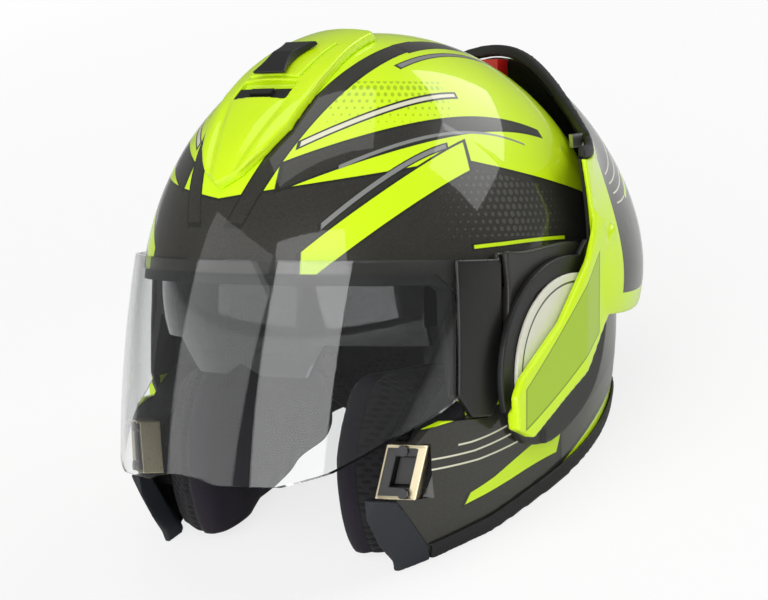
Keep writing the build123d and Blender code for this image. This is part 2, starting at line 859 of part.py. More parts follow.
def chin_bar_shell():
    body = bar_loft(lambda depth: bar_skin, lambda depth: 0)
    for arm in both_sides(chin_arm()):
        body = body + arm
    return body - vent_block(vent_width, vent_height, vent_proud, vent_room)


def chin_bar_liner():
    body = bar_loft(lambda depth: depth, lambda depth: bar_skin)
    body = body - vent_block(vent_width, vent_height, vent_proud, vent_room)
    button_room = button_block(button_room_rise + clearance, button_travel + clearance)
    body = body - Pos(0, 0, button_room_rise) * button_room
    for arm in both_sides(chin_arm()):
        body = body - arm
    for room in latch_rooms():
        for side in both_sides(room):
            body = body - side
    for room in visor_rooms():
        body = body - room
    return body


def chin_lip_trim():
    """The soft edge along the lip."""
    sections = []
    for degrees in bar_station_angles:
        angle = math.radians(degrees)
        radius, z = bar_levels(angle)[-1]
        depth = bar_depths(angle)[-1]
        low = z + lip_seat
        outer = [(radius, low), (radius - lip_lean, z + lip_trim_height)]
        inner = [(radius - depth, low), (radius - depth, z + lip_trim_height)]
        s = math.sin(angle)
        c = math.cos(angle)
        plane = Plane(origin=(0, bar_axis_y, 0), x_dir=(s, c, 0), z_dir=(c, -s, 0))
        sections.append(plane * make_face(Polyline(outer[0], outer[1], inner[1], inner[0], close=True)))
    body = loft(sections)
    for room in latch_rooms():
        for side in both_sides(room):
            body = body - side
    return body


def vent_block(width, height, high, depth):
    """A block at the chin vent that ends a height above the bar's surface and reaches a depth below it."""
    place = Pos(0, vent_y, vent_z) * Rot(vent_lean, 0, 0) * Pos(0, (high - depth) / 2, 0)
    return place * Box(width, high + depth, height)


def chin_vent():
    """The louvred grille of the chin vent."""
    body = vent_block(vent_width - clearance, vent_height - clearance, vent_proud, vent_depth)
    pitch = vent_height / (vent_slats + 1)
    for index in range(vent_slats):
        z = pitch * (index + 1) - vent_height / 2
        place = Pos(0, vent_y, vent_z) * Rot(vent_lean, 0, 0) * Pos(0, vent_proud, z)
        body = body - place * Box(vent_width - 2 * vent_frame, vent_depth, pitch / 2)
    return body


def chin_vent_shutter():
    """The sliding plate behind the grille."""
    seat = -vent_depth - clearance - shutter_thickness / 2
    place = Pos(0, vent_y, vent_z) * Rot(vent_lean, 0, 0) * Pos(0, seat, 0)
    width = vent_width - 2 * vent_shutter_travel - 2 * clearance
    return place * Box(width, shutter_thickness, vent_shutter_height)


def button_block(gap, travel):
    box = Box(button_width + 2 * gap, button_depth + travel, button_height + 2 * gap)
    return Pos(0, button_y + travel / 2, button_z) * box


def latch_striker():
    """The metal striker of one latch, with a pocket for the hook."""
    pocket = Box(striker_pocket_width, 2 * striker_pocket_depth, striker_pocket_height)
    body = striker_place(0) * Box(striker_width, striker_depth, striker_height)
    body = body - striker_place(striker_depth / 2) * pocket
    for place in striker_screw_places():
        body = body - place * Cylinder(striker_screw_radius + running_gap, far)
    return body


def striker_screw_places():
    offset = (striker_height + striker_pocket_height) / 4
    return [striker_place(0) * Pos(0, 0, sign * offset) * Rot(90, 0, 0) for sign in (-1, 1)]


def striker_screws():
    screws = []
    for place in striker_screw_places():
        shank = place * Cylinder(striker_screw_radius, striker_depth)
        rise = (striker_depth + striker_screw_head_height) / 2
        head = place * Pos(0, 0, rise) * Cylinder(striker_screw_head_radius, striker_screw_head_height)
        screws += both_sides(shank + head)
    return Compound(children=screws)


def parked(solid, turn):
    """A solid of the shut helmet, turned back with the chin bar by an angle."""
    return Pos(0, pivot_y, pivot_z) * Rot(-turn, 0, 0) * Pos(0, -pivot_y, -pivot_z) * solid


def latch_rooms():
    """The room that a hook and the shut striker take in one end of the bar."""
    swing = hook_reach * math.sin(math.radians(hook_turn)) + 3 * clearance
    width = hook_thickness + 2 * swing
    hook = striker_place(hook_forward) * Box(width, hook_reach + 2 * swing, hook_width + 2 * clearance)
    gap = 4 * clearance
    striker = striker_place(0) * Box(striker_width + gap, striker_depth + gap, striker_height + gap)
    return [parked(hook, chin_turn), parked(striker, chin_turn)]


def visor_rooms():
    """The room that the visor's lower edge takes as the bar shuts past it."""
    outline = [
        (-far, visor_room_top_z),
        (visor_run_y, visor_room_top_z),
        (visor_run_y, visor_run_z - recess_gap),
        (visor_chin_y, visor_chin_z - recess_gap),
        (visor_nose_y, visor_nose_z - recess_gap),
        (-far, visor_nose_z - recess_gap),
    ]
    edge = visor_form(-visor_room_gap) & side_prism(outline, -far, far)
    return [parked(edge, chin_turn - turn) for turn in visor_room_turns]


def latch_hook():
    """The steel hook inside one end of the bar, which drops into the striker as the bar closes."""
    root = (hook_thickness - hook_reach) / 2
    length = hook_reach - hook_thickness / 2
    shank = Pos(0, root + length / 2, 0) * Box(hook_thickness, length, hook_width)
    barrel = Pos(0, root, 0) * Cylinder(hook_thickness / 2, hook_width)
    return parked(striker_place(hook_forward) * (shank + barrel), chin_turn)


def crown_place(pitch, rise):
    """A place above the crown with Z along its outward normal and Y up the slope."""
    front = shell_front + rise
    top = shell_top + rise
    slope = math.tan(math.radians(pitch)) * front / top
    share = 1 / math.sqrt(1 + slope * slope)
    y = shell_centre_y - front * share
    z = shell_centre_z + top * share * slope
    normal = math.degrees(math.atan(slope * front / top))
    return Pos(0, y, z) * Rot(90 - normal, 0, 0)


def cowl_seat(gap):
    """The room of the slider's track in the cowl."""
    span = track_length + 2 * gap
    return crown_place(slider_pitch, cowl_rise) * Box(2 * track_half_width + 2 * gap, span, 4 * cowl_rise)


def vent_cowl():
    """The leaf-shaped cowl on the forehead, with the pocket of the vent and the track's seat."""
    half = [(x * cowl_length, s * cowl_length) for x, s in cowl_outline_shares]
    other = [(-x, s) for x, s in reversed(half[1:])]
    pitch = math.radians(cowl_pitch)
    plane = Plane(origin=(0, 0, 0), x_dir=(1, 0, 0), z_dir=(0, -math.cos(pitch), math.sin(pitch)))
    face = make_face(Polyline(*half, *other, close=True))
    prism = extrude(plane * fillet(face.vertices(), cowl_corner), far)
    body = (skull(-cowl_rise) & prism) - skull_outer
    slot = crown_place(slot_pitch, cowl_rise) * Box(2 * slot_half_width, slot_height, 2 * slot_depth)
    seat = cowl_seat(clearance) - skull(track_thickness + clearance - track_proud - cowl_rise)
    return body - slot - seat


def vent_shutter():
    """The plate that closes the vent, with a rib for the finger; it slides up the slope to open."""
    height = slot_height - shutter_travel - 2 * clearance
    low = (height - slot_height) / 2 + clearance
    floor = crown_place(slot_pitch, cowl_rise) * Pos(0, low, shutter_thickness / 2 + clearance - slot_depth)
    plate = Box(2 * slot_half_width - 2 * clearance, height, shutter_thickness)
    rib = Pos(0, 0, shutter_thickness) * Box(2 * height, height / 2, shutter_thickness)
    return floor * (plate + rib)


def slider_track():
    """The curved track plate on the crown, with the slot of the slider's stem."""
    band = skull(-cowl_rise - track_proud) - skull(track_thickness - track_proud - cowl_rise)
    plate = cowl_seat(0) & band
    slot = Box(slider_stem, slider_stem + slider_travel + 2 * clearance, far)
    return plate - crown_place(slider_pitch, cowl_rise) * slot


def sun_visor_slider():
    """The sliding grip on the crown, with a ramped nose and a stem in the track's slot."""
    place = crown_place(slider_pitch, cowl_rise + track_proud) * Pos(0, -slider_travel / 2, 0)
    half = slider_length / 2
    outline = [
        (-half, running_gap),
        (half, running_gap),
        (half, slider_thickness * slider_tail_share),
        (0, slider_thickness),
        (-half, slider_thickness * slider_nose_share),
    ]
    plane = Plane.YZ.offset(-slider_half_width)
    body = extrude(plane * make_face(Polyline(*outline, close=True)), 2 * slider_half_width)
    stem_box = Box(slider_stem - clearance, slider_stem, slider_stem_depth + clearance)
    return place * (body + Pos(0, 0, -slider_stem_depth / 2) * stem_box)


def chin_strap():
    """One half of the chin strap: a tab against the lining, and a band that sags to the buckle."""
    inner_x = strap_anchor_x - strap_thickness
    corner_z = strap_anchor_z - strap_tab_height
    low_end = (buckle_half_length, strap_low_z)
    path = ThreePointArc((strap_anchor_x, corner_z), (strap_mid_x, strap_mid_z), low_end)
    above = (buckle_half_length, strap_low_z + strap_thickness)
    middle = (strap_mid_x - strap_thickness / 2, strap_mid_z + strap_thickness)
    back = ThreePointArc(above, middle, (inner_x, corner_z))
    edges = [
        path,
        Line(path @ 1, back @ 0),
        back,
        Polyline((inner_x, corner_z), (inner_x, strap_anchor_z), (strap_anchor_x, strap_anchor_z)),
        Line((strap_anchor_x, strap_anchor_z), (strap_anchor_x, corner_z)),
    ]
    face = Plane.XZ.offset(-strap_y - strap_width / 2) * make_face(edges)
    body = extrude(face, strap_width)
    return body - rod(strap_y, strap_rivet_z, rivet_radius + running_gap, inner_x - clearance, far)


def buckle_place(rise):
    return Pos(0, strap_y, strap_low_z + strap_thickness / 2 + rise)


def buckle_body():
    """The buckle: a tray between the two strap ends, open above for the lever."""
    tray = Box(2 * buckle_half_length, strap_width, buckle_height)
    inside = Box(2 * buckle_half_length - 2 * buckle_wall, strap_width - 2 * buckle_wall, buckle_height)
    return buckle_place(0) * (tray - Pos(0, 0, buckle_wall) * inside)


def buckle_lever():
    """The lever that frees the strap, lying in the tray."""
    length = 2 * buckle_half_length - 2 * buckle_wall - 2 * lever_gap
    width = strap_width - 2 * buckle_wall - 2 * lever_gap
    hinge_x = (buckle_wall - length) / 2
    plate = Pos(buckle_wall / 4, 0, 0) * Box(length - buckle_wall / 2, width, buckle_wall)
    barrel = Pos(hinge_x, 0, 0) * Rot(90, 0, 0) * Cylinder(buckle_wall / 2, width)
    return buckle_place(buckle_height / 2 - buckle_wall / 2) * (plate + barrel)


def strap_rivets():
    inner_x = strap_anchor_x - strap_thickness
    shank = rod(strap_y, strap_rivet_z, rivet_radius, inner_x, rivet_end_x)
    head = rod(strap_y, strap_rivet_z, rivet_head_radius, inner_x - rivet_head_thickness, inner_x)
    return Compound(children=list(both_sides(shank + head)))


def release_button():
    return button_block(0, 0)


def pair(name, solid):
    """A left piece and its mirror image on the right."""
    left, right = both_sides(solid)
    return {name + "_left": left, name + "_right": right}


lens = visor()
pieces = {
    "outer_shell": outer_shell(),
    "rim_trim": rim_trim(),
    "eyeport_seal": eyeport_seal(),
    "foam_liner": foam_liner(),
    "crown_lining": crown_lining(),
    **pair("cheek_pad", cheek_pad()),
    "neck_roll": neck_roll(),
    **pair("jaw_cover", jaw_cover()),
    **pair("latch_striker", latch_striker()),
    "striker_screws": striker_screws(),
    **pair("chin_strap", chin_strap()),
    "strap_rivets": strap_rivets(),
    "buckle_body": buckle_body(),
    "buckle_lever": buckle_lever(),
    **pair("pivot_housing", pivot_housing()),
    "pivot_pins": pivot_pins(),
    "visor_pins": visor_pins(),
    "visor": lens,
    **pair("visor_bracket", visor_bracket(lens)),
    "sun_visor": sun_visor(),
    "sun_visor_pins": sun_visor_pins(),
    "vent_cowl": vent_cowl(),
    "vent_shutter": vent_shutter(),
    "slider_track": slider_track(),
    "sun_visor_slider": sun_visor_slider(),
    "chin_bar_shell": chin_bar_shell(),
    "chin_bar_liner": chin_bar_liner(),
    "chin_lip_trim": chin_lip_trim(),
    "chin_vent": chin_vent(),
    "chin_vent_shutter": chin_vent_shutter(),
    "release_button": release_button(),
    **pair("latch_hook", latch_hook()),
    **pair("pivot_plate", pivot_plate()),
    **pair("pivot_cover", pivot_cover()),
}
boxes = [(stand * solid).bounding_box() for solid in pieces.values()]
low_y = min(box.min.Y for box in boxes)
high_y = max(box.max.Y for box in boxes)
centred = Pos(0, -(low_y + high_y) / 2, 0) * stand

for name, solid in pieces.items():
    export_step(centred * solid, f"parts/{name}.step")
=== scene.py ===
import json
import math

import bmesh
import bpy
import numpy as np
from mathutils import Matrix, Vector

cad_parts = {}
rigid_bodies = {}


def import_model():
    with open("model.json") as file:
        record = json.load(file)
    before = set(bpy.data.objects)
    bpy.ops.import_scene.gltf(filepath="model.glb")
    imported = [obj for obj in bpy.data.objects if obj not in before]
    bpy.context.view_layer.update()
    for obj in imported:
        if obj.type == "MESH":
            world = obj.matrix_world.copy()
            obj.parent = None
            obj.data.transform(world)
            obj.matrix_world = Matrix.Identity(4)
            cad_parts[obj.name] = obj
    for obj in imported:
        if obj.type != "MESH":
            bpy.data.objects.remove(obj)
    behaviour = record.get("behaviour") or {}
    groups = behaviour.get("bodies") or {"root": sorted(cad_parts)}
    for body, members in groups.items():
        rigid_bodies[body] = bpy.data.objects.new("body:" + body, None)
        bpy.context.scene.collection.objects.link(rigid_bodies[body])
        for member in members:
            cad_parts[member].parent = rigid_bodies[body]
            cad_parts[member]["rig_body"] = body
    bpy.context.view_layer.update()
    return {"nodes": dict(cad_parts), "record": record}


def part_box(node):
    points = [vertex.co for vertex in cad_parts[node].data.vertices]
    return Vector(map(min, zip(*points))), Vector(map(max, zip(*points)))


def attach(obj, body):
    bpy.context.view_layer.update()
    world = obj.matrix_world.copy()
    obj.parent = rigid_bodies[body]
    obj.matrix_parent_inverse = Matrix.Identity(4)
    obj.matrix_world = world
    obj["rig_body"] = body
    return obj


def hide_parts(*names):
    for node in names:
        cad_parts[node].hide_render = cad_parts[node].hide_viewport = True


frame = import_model()
nodes = frame["nodes"]
slots = {part["node"]: part["material_slot"] for part in frame["record"]["subparts"]}


def srgb(red, green, blue):
    """A linear colour from the 0 to 255 values that a screen shows."""
    linear = []
    for value in (red, green, blue):
        share = value / 255.0
        linear.append(share / 12.92 if share <= 0.04045 else ((share + 0.055) / 1.055) ** 2.4)
    return (*linear, 1.0)


# The helmet is drawn as worn, in millimetres, and then tipped back on its rim, as in the CAD source
RIM_TILT = math.radians(22.0)
RIM_FRONT_Y = -66.0
RIM_FRONT_Z = -121.0
PIVOT_Y = -17.5
RIM_DROP = -RIM_FRONT_Y * math.sin(RIM_TILT) + RIM_FRONT_Z * math.cos(RIM_TILT)
pin_low, pin_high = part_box("pivot_pins")
PIVOT_ROW_Y = (pin_low[1] + pin_high[1]) / 2
MM = 0.001
CENTRE_SHIFT = PIVOT_ROW_Y / MM - PIVOT_Y * math.cos(RIM_TILT)
TIP = Matrix.Rotation(-RIM_TILT, 4, "X")
TO_ROW = Matrix.Scale(MM, 4) @ Matrix.Translation((0, CENTRE_SHIFT, -RIM_DROP)) @ TIP
TO_WORN = TO_ROW.inverted()
WORN_TURN = np.array(TO_WORN.to_3x3()) * MM

# Whole shell, as in the CAD source
SHELL_HALF_WIDTH = 117.8
SHELL_FRONT = 135.6
SHELL_REAR = 145.3
SHELL_TOP = 145.5
SHELL_CENTRE_Y = -2.2
SHELL_CENTRE_Z = -1.5
SIDE_TAPER = 240.0
NAPE_TAPER = 175.0
JAW_SQUARE_DEPTH = 60.0
LEAST_TAPER = 0.05

# Visor, as in the CAD source: height, half width and reach in front of its middle
VISOR_CENTRE_Y = -20.0
VISOR_LEVELS = ((27.0, 116.0, 118.5), (-30.0, 116.0, 131.0), (-90.0, 112.5, 137.0))

# Chin bar at rest behind the shell, as in the CAD source
BAR_AXIS_Y = 20.0
BAR_LOW_SIDE_Z = -4.0
BAR_LOW_RISE = 49.0
BAR_LOW_POWER = 4.0
BAR_LIP_SIDE_Z = 83.8
BAR_LIP_RISE = 57.7
BAR_LIP_POWER = 1.85
LIP_TRIM_HEIGHT = 7.0

# Slider grip: its width at the middle as a share, and how much of it comes back at the ends
GRIP_WAIST = 0.52
GRIP_FLARE = 0.3

# Lower ends of the cheek pads, in metres in the row frame
PAD_HANG = 0.012
PAD_HANG_SHARE = 0.9
PAD_HANG_TOP = 0.052
PAD_HANG_SPAN = 0.026
PAD_FLOOR = 0.003

# Sewn seams, as distances from the middle of the helmet
PAD_SEAM = 59.0
CROWN_SEAM = 28.0
NECK_SEAM = 32.0
SEAM_DEPTH = 1.3
SEAM_WIDTH = 2.2

# Chin strap: the line that its middle follows, seen from the front, and its section
STRAP_TOP = (74.4, -30.0)
STRAP_CORNER = (74.4, -48.0)
STRAP_MIDDLE = (49.5, -62.4)
STRAP_END = (17.0, -68.4)
STRAP_STEPS = 18
STRAP_Y = 40.0
STRAP_HALF = 10.8
STRAP_THICK = 1.05
STRAP_EDGE = 0.7

# Latch striker: its place, its turn, and rings of low x, high x, half height and depth
STRIKER_PLACE = (91.0, -89.5, -76.5)
STRIKER_TURN = math.radians(26.0)
STRIKER_FRONT = -6.0
STRIKER_BACK = 6.0
STRIKER_HALF_HEIGHT = 13.5
STRIKER_LEAN = 4.0
STRIKER_TOP_LEAN = 0.55
STRIKER_NARROW = 0.82
STRIKER_RINGS = (
    (-12.5, 12.5, STRIKER_HALF_HEIGHT, STRIKER_BACK),
    (-12.5, 12.5, STRIKER_HALF_HEIGHT, STRIKER_FRONT),
    (-11.6, 7.0, 11.9, STRIKER_FRONT + 0.9),
    (-6.0, 6.0, 7.5, STRIKER_FRONT + 1.0),
    (-5.4, 5.4, 6.9, STRIKER_BACK - 4.0),
)
STRIKER_GILT_STEPS = 2
STRIKER_BEVEL = 0.0005

# Pressed lines on the vent cowl, by degrees up from the front and distance from the middle
CREASE_START = 26.0
CREASE_FADE_IN = 6.0
CREASE_END = 50.0
CREASE_FADE_OUT = 8.0
CREASE_FOOT = (24.0, 4.0)
CREASE_SLOPE = 0.62
CREASE_DIP_WIDTH = 2.6
CREASE_RIDGE_OFF = 5.0
CREASE_RIDGE_WIDTH = 4.0
CREASE_RIDGE_SHARE = 0.55
CREASE_DEPTH = 1.1
CREASE_OUTER_LEVEL = 1.05

# Cloth of the pads, swelled under pressure
CLOTH_VOXEL = 0.0045
CLOTH_FRAMES = 20
CLOTH_SETTINGS = {
    "quality": 4, "use_pressure": True, "tension_stiffness": 20.0, "compression_stiffness": 20.0,
    "bending_stiffness": 0.6,
}

# Camera of the photograph, in the worn frame
CAMERA_AZIMUTH = math.radians(40.0)
CAMERA_ELEVATION = math.radians(3.0)
CAMERA_DISTANCE = 1400.0
CAMERA_FOCAL_PX = 2600.0
IMAGE_WIDTH = 768.0
SENSOR_MM = 36.0
ORIGIN_RIGHT_PX = -2.85
ORIGIN_DOWN_PX = 1.93
CLIP_START = 0.05
CLIP_END = 200.0

# Floor, surroundings and lamps: name, place, size and power
FLOOR_HALF = 12.0
FLOOR_DROP = 0.0005
FLOOR_GREY = 0.9
FLOOR_ROUGHNESS = 0.9
FLOOR_WHITE = 0.78
FLOOR_FADE_START = 0.45
FLOOR_FADE_RATE = 0.9
SOFT_LIGHT = 0.24
LAMP_TARGET = (0, 0, 0.12)
LAMPS = (
    ("key", (0.76, -1.54, 0.89), (1.25, 1.6), 20),
    ("left", (-0.95, -1.75, 1.0), (1.9, 1.6), 13),
    ("right", (1.6, 1.3, 1.35), (1.0, 1.0), 9),
    ("rear", (0.6, 1.9, 1.3), (1.4, 1.0), 15),
    ("top", (-0.1, 0.1, 2.3), (1.8, 1.4), 13),
)

# Colours of the paint
YELLOW = srgb(212, 248, 0)
YELLOW_DEEP = srgb(168, 204, 2)
# Darker yellow for the painted crease shade round the raised facet of each chin bar arm
YELLOW_CREASE_SHADE = srgb(122, 152, 2)
GRAPHITE = srgb(40, 39, 34)
GRAPHITE_LIGHT = srgb(68, 68, 64)
SILVER = srgb(132, 134, 132)
CREAM = srgb(222, 220, 196)
OUTLINE = srgb(20, 22, 14)
FLAKE = srgb(235, 235, 225)

# Yellow crown of the shell: how its lower edge climbs and falls with the degrees from the front
CROWN_RISE = 0.32
CROWN_RISE_Z = 57.0
CROWN_FALL = -0.33
CROWN_FALL_Z = 98.0
CROWN_LINE = 1.2

# Fading dots under the edge of the crown, by degrees from the front and by height
SPOT_TURNS = (52.0, 104.0)
SPOT_FADE = 26.0
SPOT_STRETCH = 1.9
SPOT_PITCH = 4.2
SPOT_RADIUS = 1.5
SPOT_LOW_Z = 38.0
SPOT_EDGE_GAP = 4.0

# Dots on the crown, growing with height
HAZE_TURNS = (24.0, 66.0)
HAZE_HEIGHTS = (90.0, 116.0)
HAZE_STRETCH = 1.6
HAZE_PITCH = 4.0
HAZE_RADIUS = 1.3
HAZE_START = 88.0
HAZE_SPAN = 26.0

# Stripes of the shell: axes, start, end, bow, half widths, lean, colour and dark line round it.
# A stripe "round" the shell goes by degrees from the front and by height, in millimetres.
# One "over" the shell goes by degrees up from the front and by distance from the middle.
SHELL_STRIPES = (
    ("round", (23.0, 22.0), (66.0, 78.0), 7.0, (9.0, 7.0), 0.0, YELLOW, 1.2),
    ("round", (27.0, 43.5), (60.0, 83.0), 6.5, (1.6, 1.0), 0.0, SILVER, 0.7),
    ("round", (16.0, 68.0), (104.0, 90.0), 13.0, (6.5, 1.2), 0.0, GRAPHITE, 1.2),
    ("round", (30.0, 72.5), (92.0, 84.0), 11.0, (1.0, 0.5), 0.0, SILVER, None),
    ("round", (19.0, 84.0), (70.0, 109.0), 6.0, (1.3, 0.8), 0.0, CREAM, 1.0),
    ("over", (20.0, 14.0), (84.0, 36.0), 8.0, (4.5, 3.6), 0.0, GRAPHITE, 1.2),
    ("over", (80.0, 37.0), (150.0, 26.0), 3.0, (4.4, 0.8), 0.0, GRAPHITE, 1.2),
    ("over", (72.0, 48.0), (140.0, 38.0), 4.0, (1.3, 0.5), 0.0, SILVER, 0.7),
    ("round", (64.0, 33.0), (99.0, 36.5), 0.6, (0.9, 0.9), 0.0, YELLOW, 0.8),
    ("round", (36.0, -58.0), (100.0, -36.0), 4.0, (5.5, 2.5), 0.0, YELLOW, 1.0),
    ("round", (62.0, -92.0), (92.0, -66.0), 2.0, (3.0, 8.0), 0.2, YELLOW, 1.0),
    ("round", (98.0, -84.0), (138.0, -44.0), 3.0, (3.5, 3.0), 0.0, YELLOW, 1.0),
    ("round", (98.0, -70.0), (132.0, -34.0), 2.0, (8.0, 6.0), 0.0, GRAPHITE_LIGHT, 0.8),
)

# Fine cream lines: start, end, how far each line is moved, bow and half width
SHELL_LINES = ((45.0, -77.0), (86.0, -62.0), (0.0, 6.5, 13.0), -2.0, 0.45)
BAR_LINES = ((24.0, 20.0), (70.0, 16.0), (0.0, 5.0, 10.0, 15.0), 3.0, 0.4)
FINE_EDGE = 0.25

# Graphite panel of the chin bar: how far it stays from the lip, the lower edge and the arms
PANEL_LIP_GAP = 7.0
PANEL_LOW_GAP = 12.0
PANEL_FRONT_Y = 50.0
PANEL_FRONT_Z = 30.0
PANEL_FRONT_LEAN = 0.08
LATTICE_ROUND = 0.55
LATTICE_UP = 0.3
LATTICE_LINE = 0.43
LATTICE_TURNS = (18.0, 46.0)
LATTICE_GAP = 3.0
LATTICE_SHARE = 0.45
BAR_SWEEP = ((4.0, 20.0), (60.0, 36.0), 5.0, (4.5, 1.0))
# Painted shade on each chin bar arm: a deeper yellow panel for the shaded facet of its raised plate, with a
# darker painted crease line round it. Start, end, bow and half widths, then the least x
ARM_PAINTED_SHADE = ((-43.0, -47.0), (22.0, 8.0), -2.0, (9.5, 20.0))
ARM_PAINTED_SHADE_X = 120.0

# Pearl cover: the centre and radius of its groove, which is darkened with painted shade
COVER_LINE_Y = 6.0
COVER_LINE_Z = -31.0
COVER_LINE_RADIUS = 45.5
COVER_LINE_HALF = 0.5


# Camera, lights and floor


def add_camera():
    azimuth, elevation = CAMERA_AZIMUTH, CAMERA_ELEVATION
    back = Vector((
        math.sin(azimuth) * math.cos(elevation),
        -math.cos(azimuth) * math.cos(elevation),
        math.sin(elevation),
    ))
    right = Vector((math.cos(azimuth), math.sin(azimuth), 0.0))
    up = back.cross(right)
    axes = [(TIP @ axis).normalized() for axis in (right, up, back)]
    place = TO_ROW @ (back * CAMERA_DISTANCE)
    data = bpy.data.cameras.new("photo_camera")
    data.sensor_width = SENSOR_MM
    data.lens = SENSOR_MM * CAMERA_FOCAL_PX / IMAGE_WIDTH
    data.shift_x = -ORIGIN_RIGHT_PX / IMAGE_WIDTH
    data.shift_y = ORIGIN_DOWN_PX / IMAGE_WIDTH
    data.clip_start = CLIP_START
    data.clip_end = CLIP_END
    camera = bpy.data.objects.new("photo_camera", data)
    camera.matrix_world = Matrix((
        (axes[0].x, axes[1].x, axes[2].x, place.x),
        (axes[0].y, axes[1].y, axes[2].y, place.y),
        (axes[0].z, axes[1].z, axes[2].z, place.z),
        (0, 0, 0, 1),
    ))
    bpy.context.scene.collection.objects.link(camera)
    bpy.context.scene.camera = camera


def area_light(name, place, size, power):
    data = bpy.data.lights.new(name, "AREA")
    data.shape = "RECTANGLE"
    data.size, data.size_y = size
    data.energy = power
    lamp = bpy.data.objects.new(name, data)
    lamp.location = place
    lamp.rotation_euler = (Vector(LAMP_TARGET) - Vector(place)).to_track_quat("-Z", "Y").to_euler()
    bpy.context.scene.collection.objects.link(lamp)


def straight_view(tree):
    """1 for the camera's own rays, also behind clear plastic, and 0 for rays that light or reflect."""
    path = tree.nodes.new("ShaderNodeLightPath")
    bounced = Value(tree, path.outputs["Diffuse Depth"]) + Value(tree, path.outputs["Glossy Depth"])
    through = Value(tree, path.outputs["Is Transmission Ray"]) - bounced
    return Value(tree, path.outputs["Is Camera Ray"]).most(through.most(0.0))


def white_light(tree, kind, strength):
    node = tree.nodes.new(kind)
    node.inputs["Color"].default_value = (1, 1, 1, 1)
    node.inputs["Strength"].default_value = strength
    return node


def add_world():
    world = bpy.data.worlds.new("studio")
    world.use_nodes = True
    tree = world.node_tree
    tree.nodes.clear()
    out = tree.nodes.new("ShaderNodeOutputWorld")
    mix = tree.nodes.new("ShaderNodeMixShader")
    soft = white_light(tree, "ShaderNodeBackground", SOFT_LIGHT)
    white = white_light(tree, "ShaderNodeBackground", 1.0)
    tree.links.new(straight_view(tree).socket, mix.inputs["Fac"])
    tree.links.new(soft.outputs[0], mix.inputs[1])
    tree.links.new(white.outputs[0], mix.inputs[2])
    tree.links.new(mix.outputs[0], out.inputs["Surface"])
    bpy.context.scene.world = world


def add_floor():
    """A white floor that fades into the background away from the helmet and keeps its shadow."""
    mesh = bpy.data.meshes.new("studio_floor")
    half = FLOOR_HALF
    corners = [(-half, -half, 0), (half, -half, 0), (half, half, 0), (-half, half, 0)]
    mesh.from_pydata(corners, [], [(0, 1, 2, 3)])
    floor = bpy.data.objects.new("studio_floor", mesh)
    floor.location = (0, 0, -FLOOR_DROP)
    bpy.context.scene.collection.objects.link(floor)
    material, tree, shader = new_material("studio_floor")
    shader.inputs["Base Color"].default_value = (FLOOR_GREY, FLOOR_GREY, FLOOR_GREY, 1)
    shader.inputs["Roughness"].default_value = FLOOR_ROUGHNESS
    place = tree.nodes.new("ShaderNodeTexCoord")
    length = tree.nodes.new("ShaderNodeVectorMath")
    length.operation = "LENGTH"
    tree.links.new(place.outputs["Object"], length.inputs[0])
    distance = Value(tree, length.outputs["Value"])
    far_off = ((distance - FLOOR_FADE_START) * FLOOR_FADE_RATE).most(0.0).least(1.0)
    share = far_off * (1.0 - FLOOR_WHITE) + FLOOR_WHITE
    white = white_light(tree, "ShaderNodeEmission", 1.0)
    blend = tree.nodes.new("ShaderNodeMixShader")
    tree.links.new((straight_view(tree) * share).socket, blend.inputs["Fac"])
    tree.links.new(shader.outputs["BSDF"], blend.inputs[1])
    tree.links.new(white.outputs["Emission"], blend.inputs[2])
    tree.links.new(blend.outputs["Shader"], tree.nodes["Material Output"].inputs["Surface"])
    floor.data.materials.append(material)


# Sums for materials


class Value:
    """A number that varies over a surface. Sums and products of it become Math nodes."""

    def __init__(self, tree, socket):
        self.tree = tree
        self.socket = socket

    def math(self, operation, *others, clamped=False):
        node = self.tree.nodes.new("ShaderNodeMath")
        node.operation = operation
        node.use_clamp = clamped
        self.tree.links.new(self.socket, node.inputs[0])
        for index, other in enumerate(others, 1):
            if isinstance(other, Value):
                self.tree.links.new(other.socket, node.inputs[index])
            else:
                node.inputs[index].default_value = other
        return Value(self.tree, node.outputs[0])

    def __add__(self, other):
        return self.math("ADD", other)

    def __sub__(self, other):
        return self.math("SUBTRACT", other)

    def __mul__(self, other):
        return self.math("MULTIPLY", other)

    def __truediv__(self, other):
        return self.math("DIVIDE", other)

    def __neg__(self):
        return self.math("MULTIPLY", -1.0)

    def power(self, other):
        return self.math("POWER", other)

    def root(self):
        return self.math("SQRT")

    def size(self):
        return self.math("ABSOLUTE")

    def least(self, other):
        return self.math("MINIMUM", other)

    def most(self, other):
        return self.math("MAXIMUM", other)

    def fraction(self):
        return self.math("FRACT")

    def whole(self):
        return self.math("FLOOR")

    def degrees_from(self, other):
        return self.math("ARCTAN2", other) * (180 / math.pi)

    def ramp(self, start, span):
        """0 up to the start and 1 beyond the span, with an even rise between them."""
        return ((self - start) / span).most(0.0).least(1.0)

    def mask(self, soft=0.35):
        """1 where the number is above zero and 0 where it is below, with a soft edge."""
        return self.math("MULTIPLY_ADD", 1 / soft, 0.5, clamped=True)


def worn_axes(tree):
    """The place on the helmet as worn, in millimetres, from the piece's own coordinates."""
    source = tree.nodes.new("ShaderNodeTexCoord")
    mapping = tree.nodes.new("ShaderNodeMapping")
    mapping.inputs["Scale"].default_value = (1 / MM, 1 / MM, 1 / MM)
    mapping.inputs["Rotation"].default_value = (RIM_TILT, 0, 0)
    mapping.inputs["Location"].default_value = TO_WORN.translation
    split = tree.nodes.new("ShaderNodeSeparateXYZ")
    tree.links.new(source.outputs["Object"], mapping.inputs["Vector"])
    tree.links.new(mapping.outputs["Vector"], split.inputs[0])
    x, y, z = [Value(tree, split.outputs[index]) for index in range(3)]
    return x, y, z, mapping.outputs["Vector"]


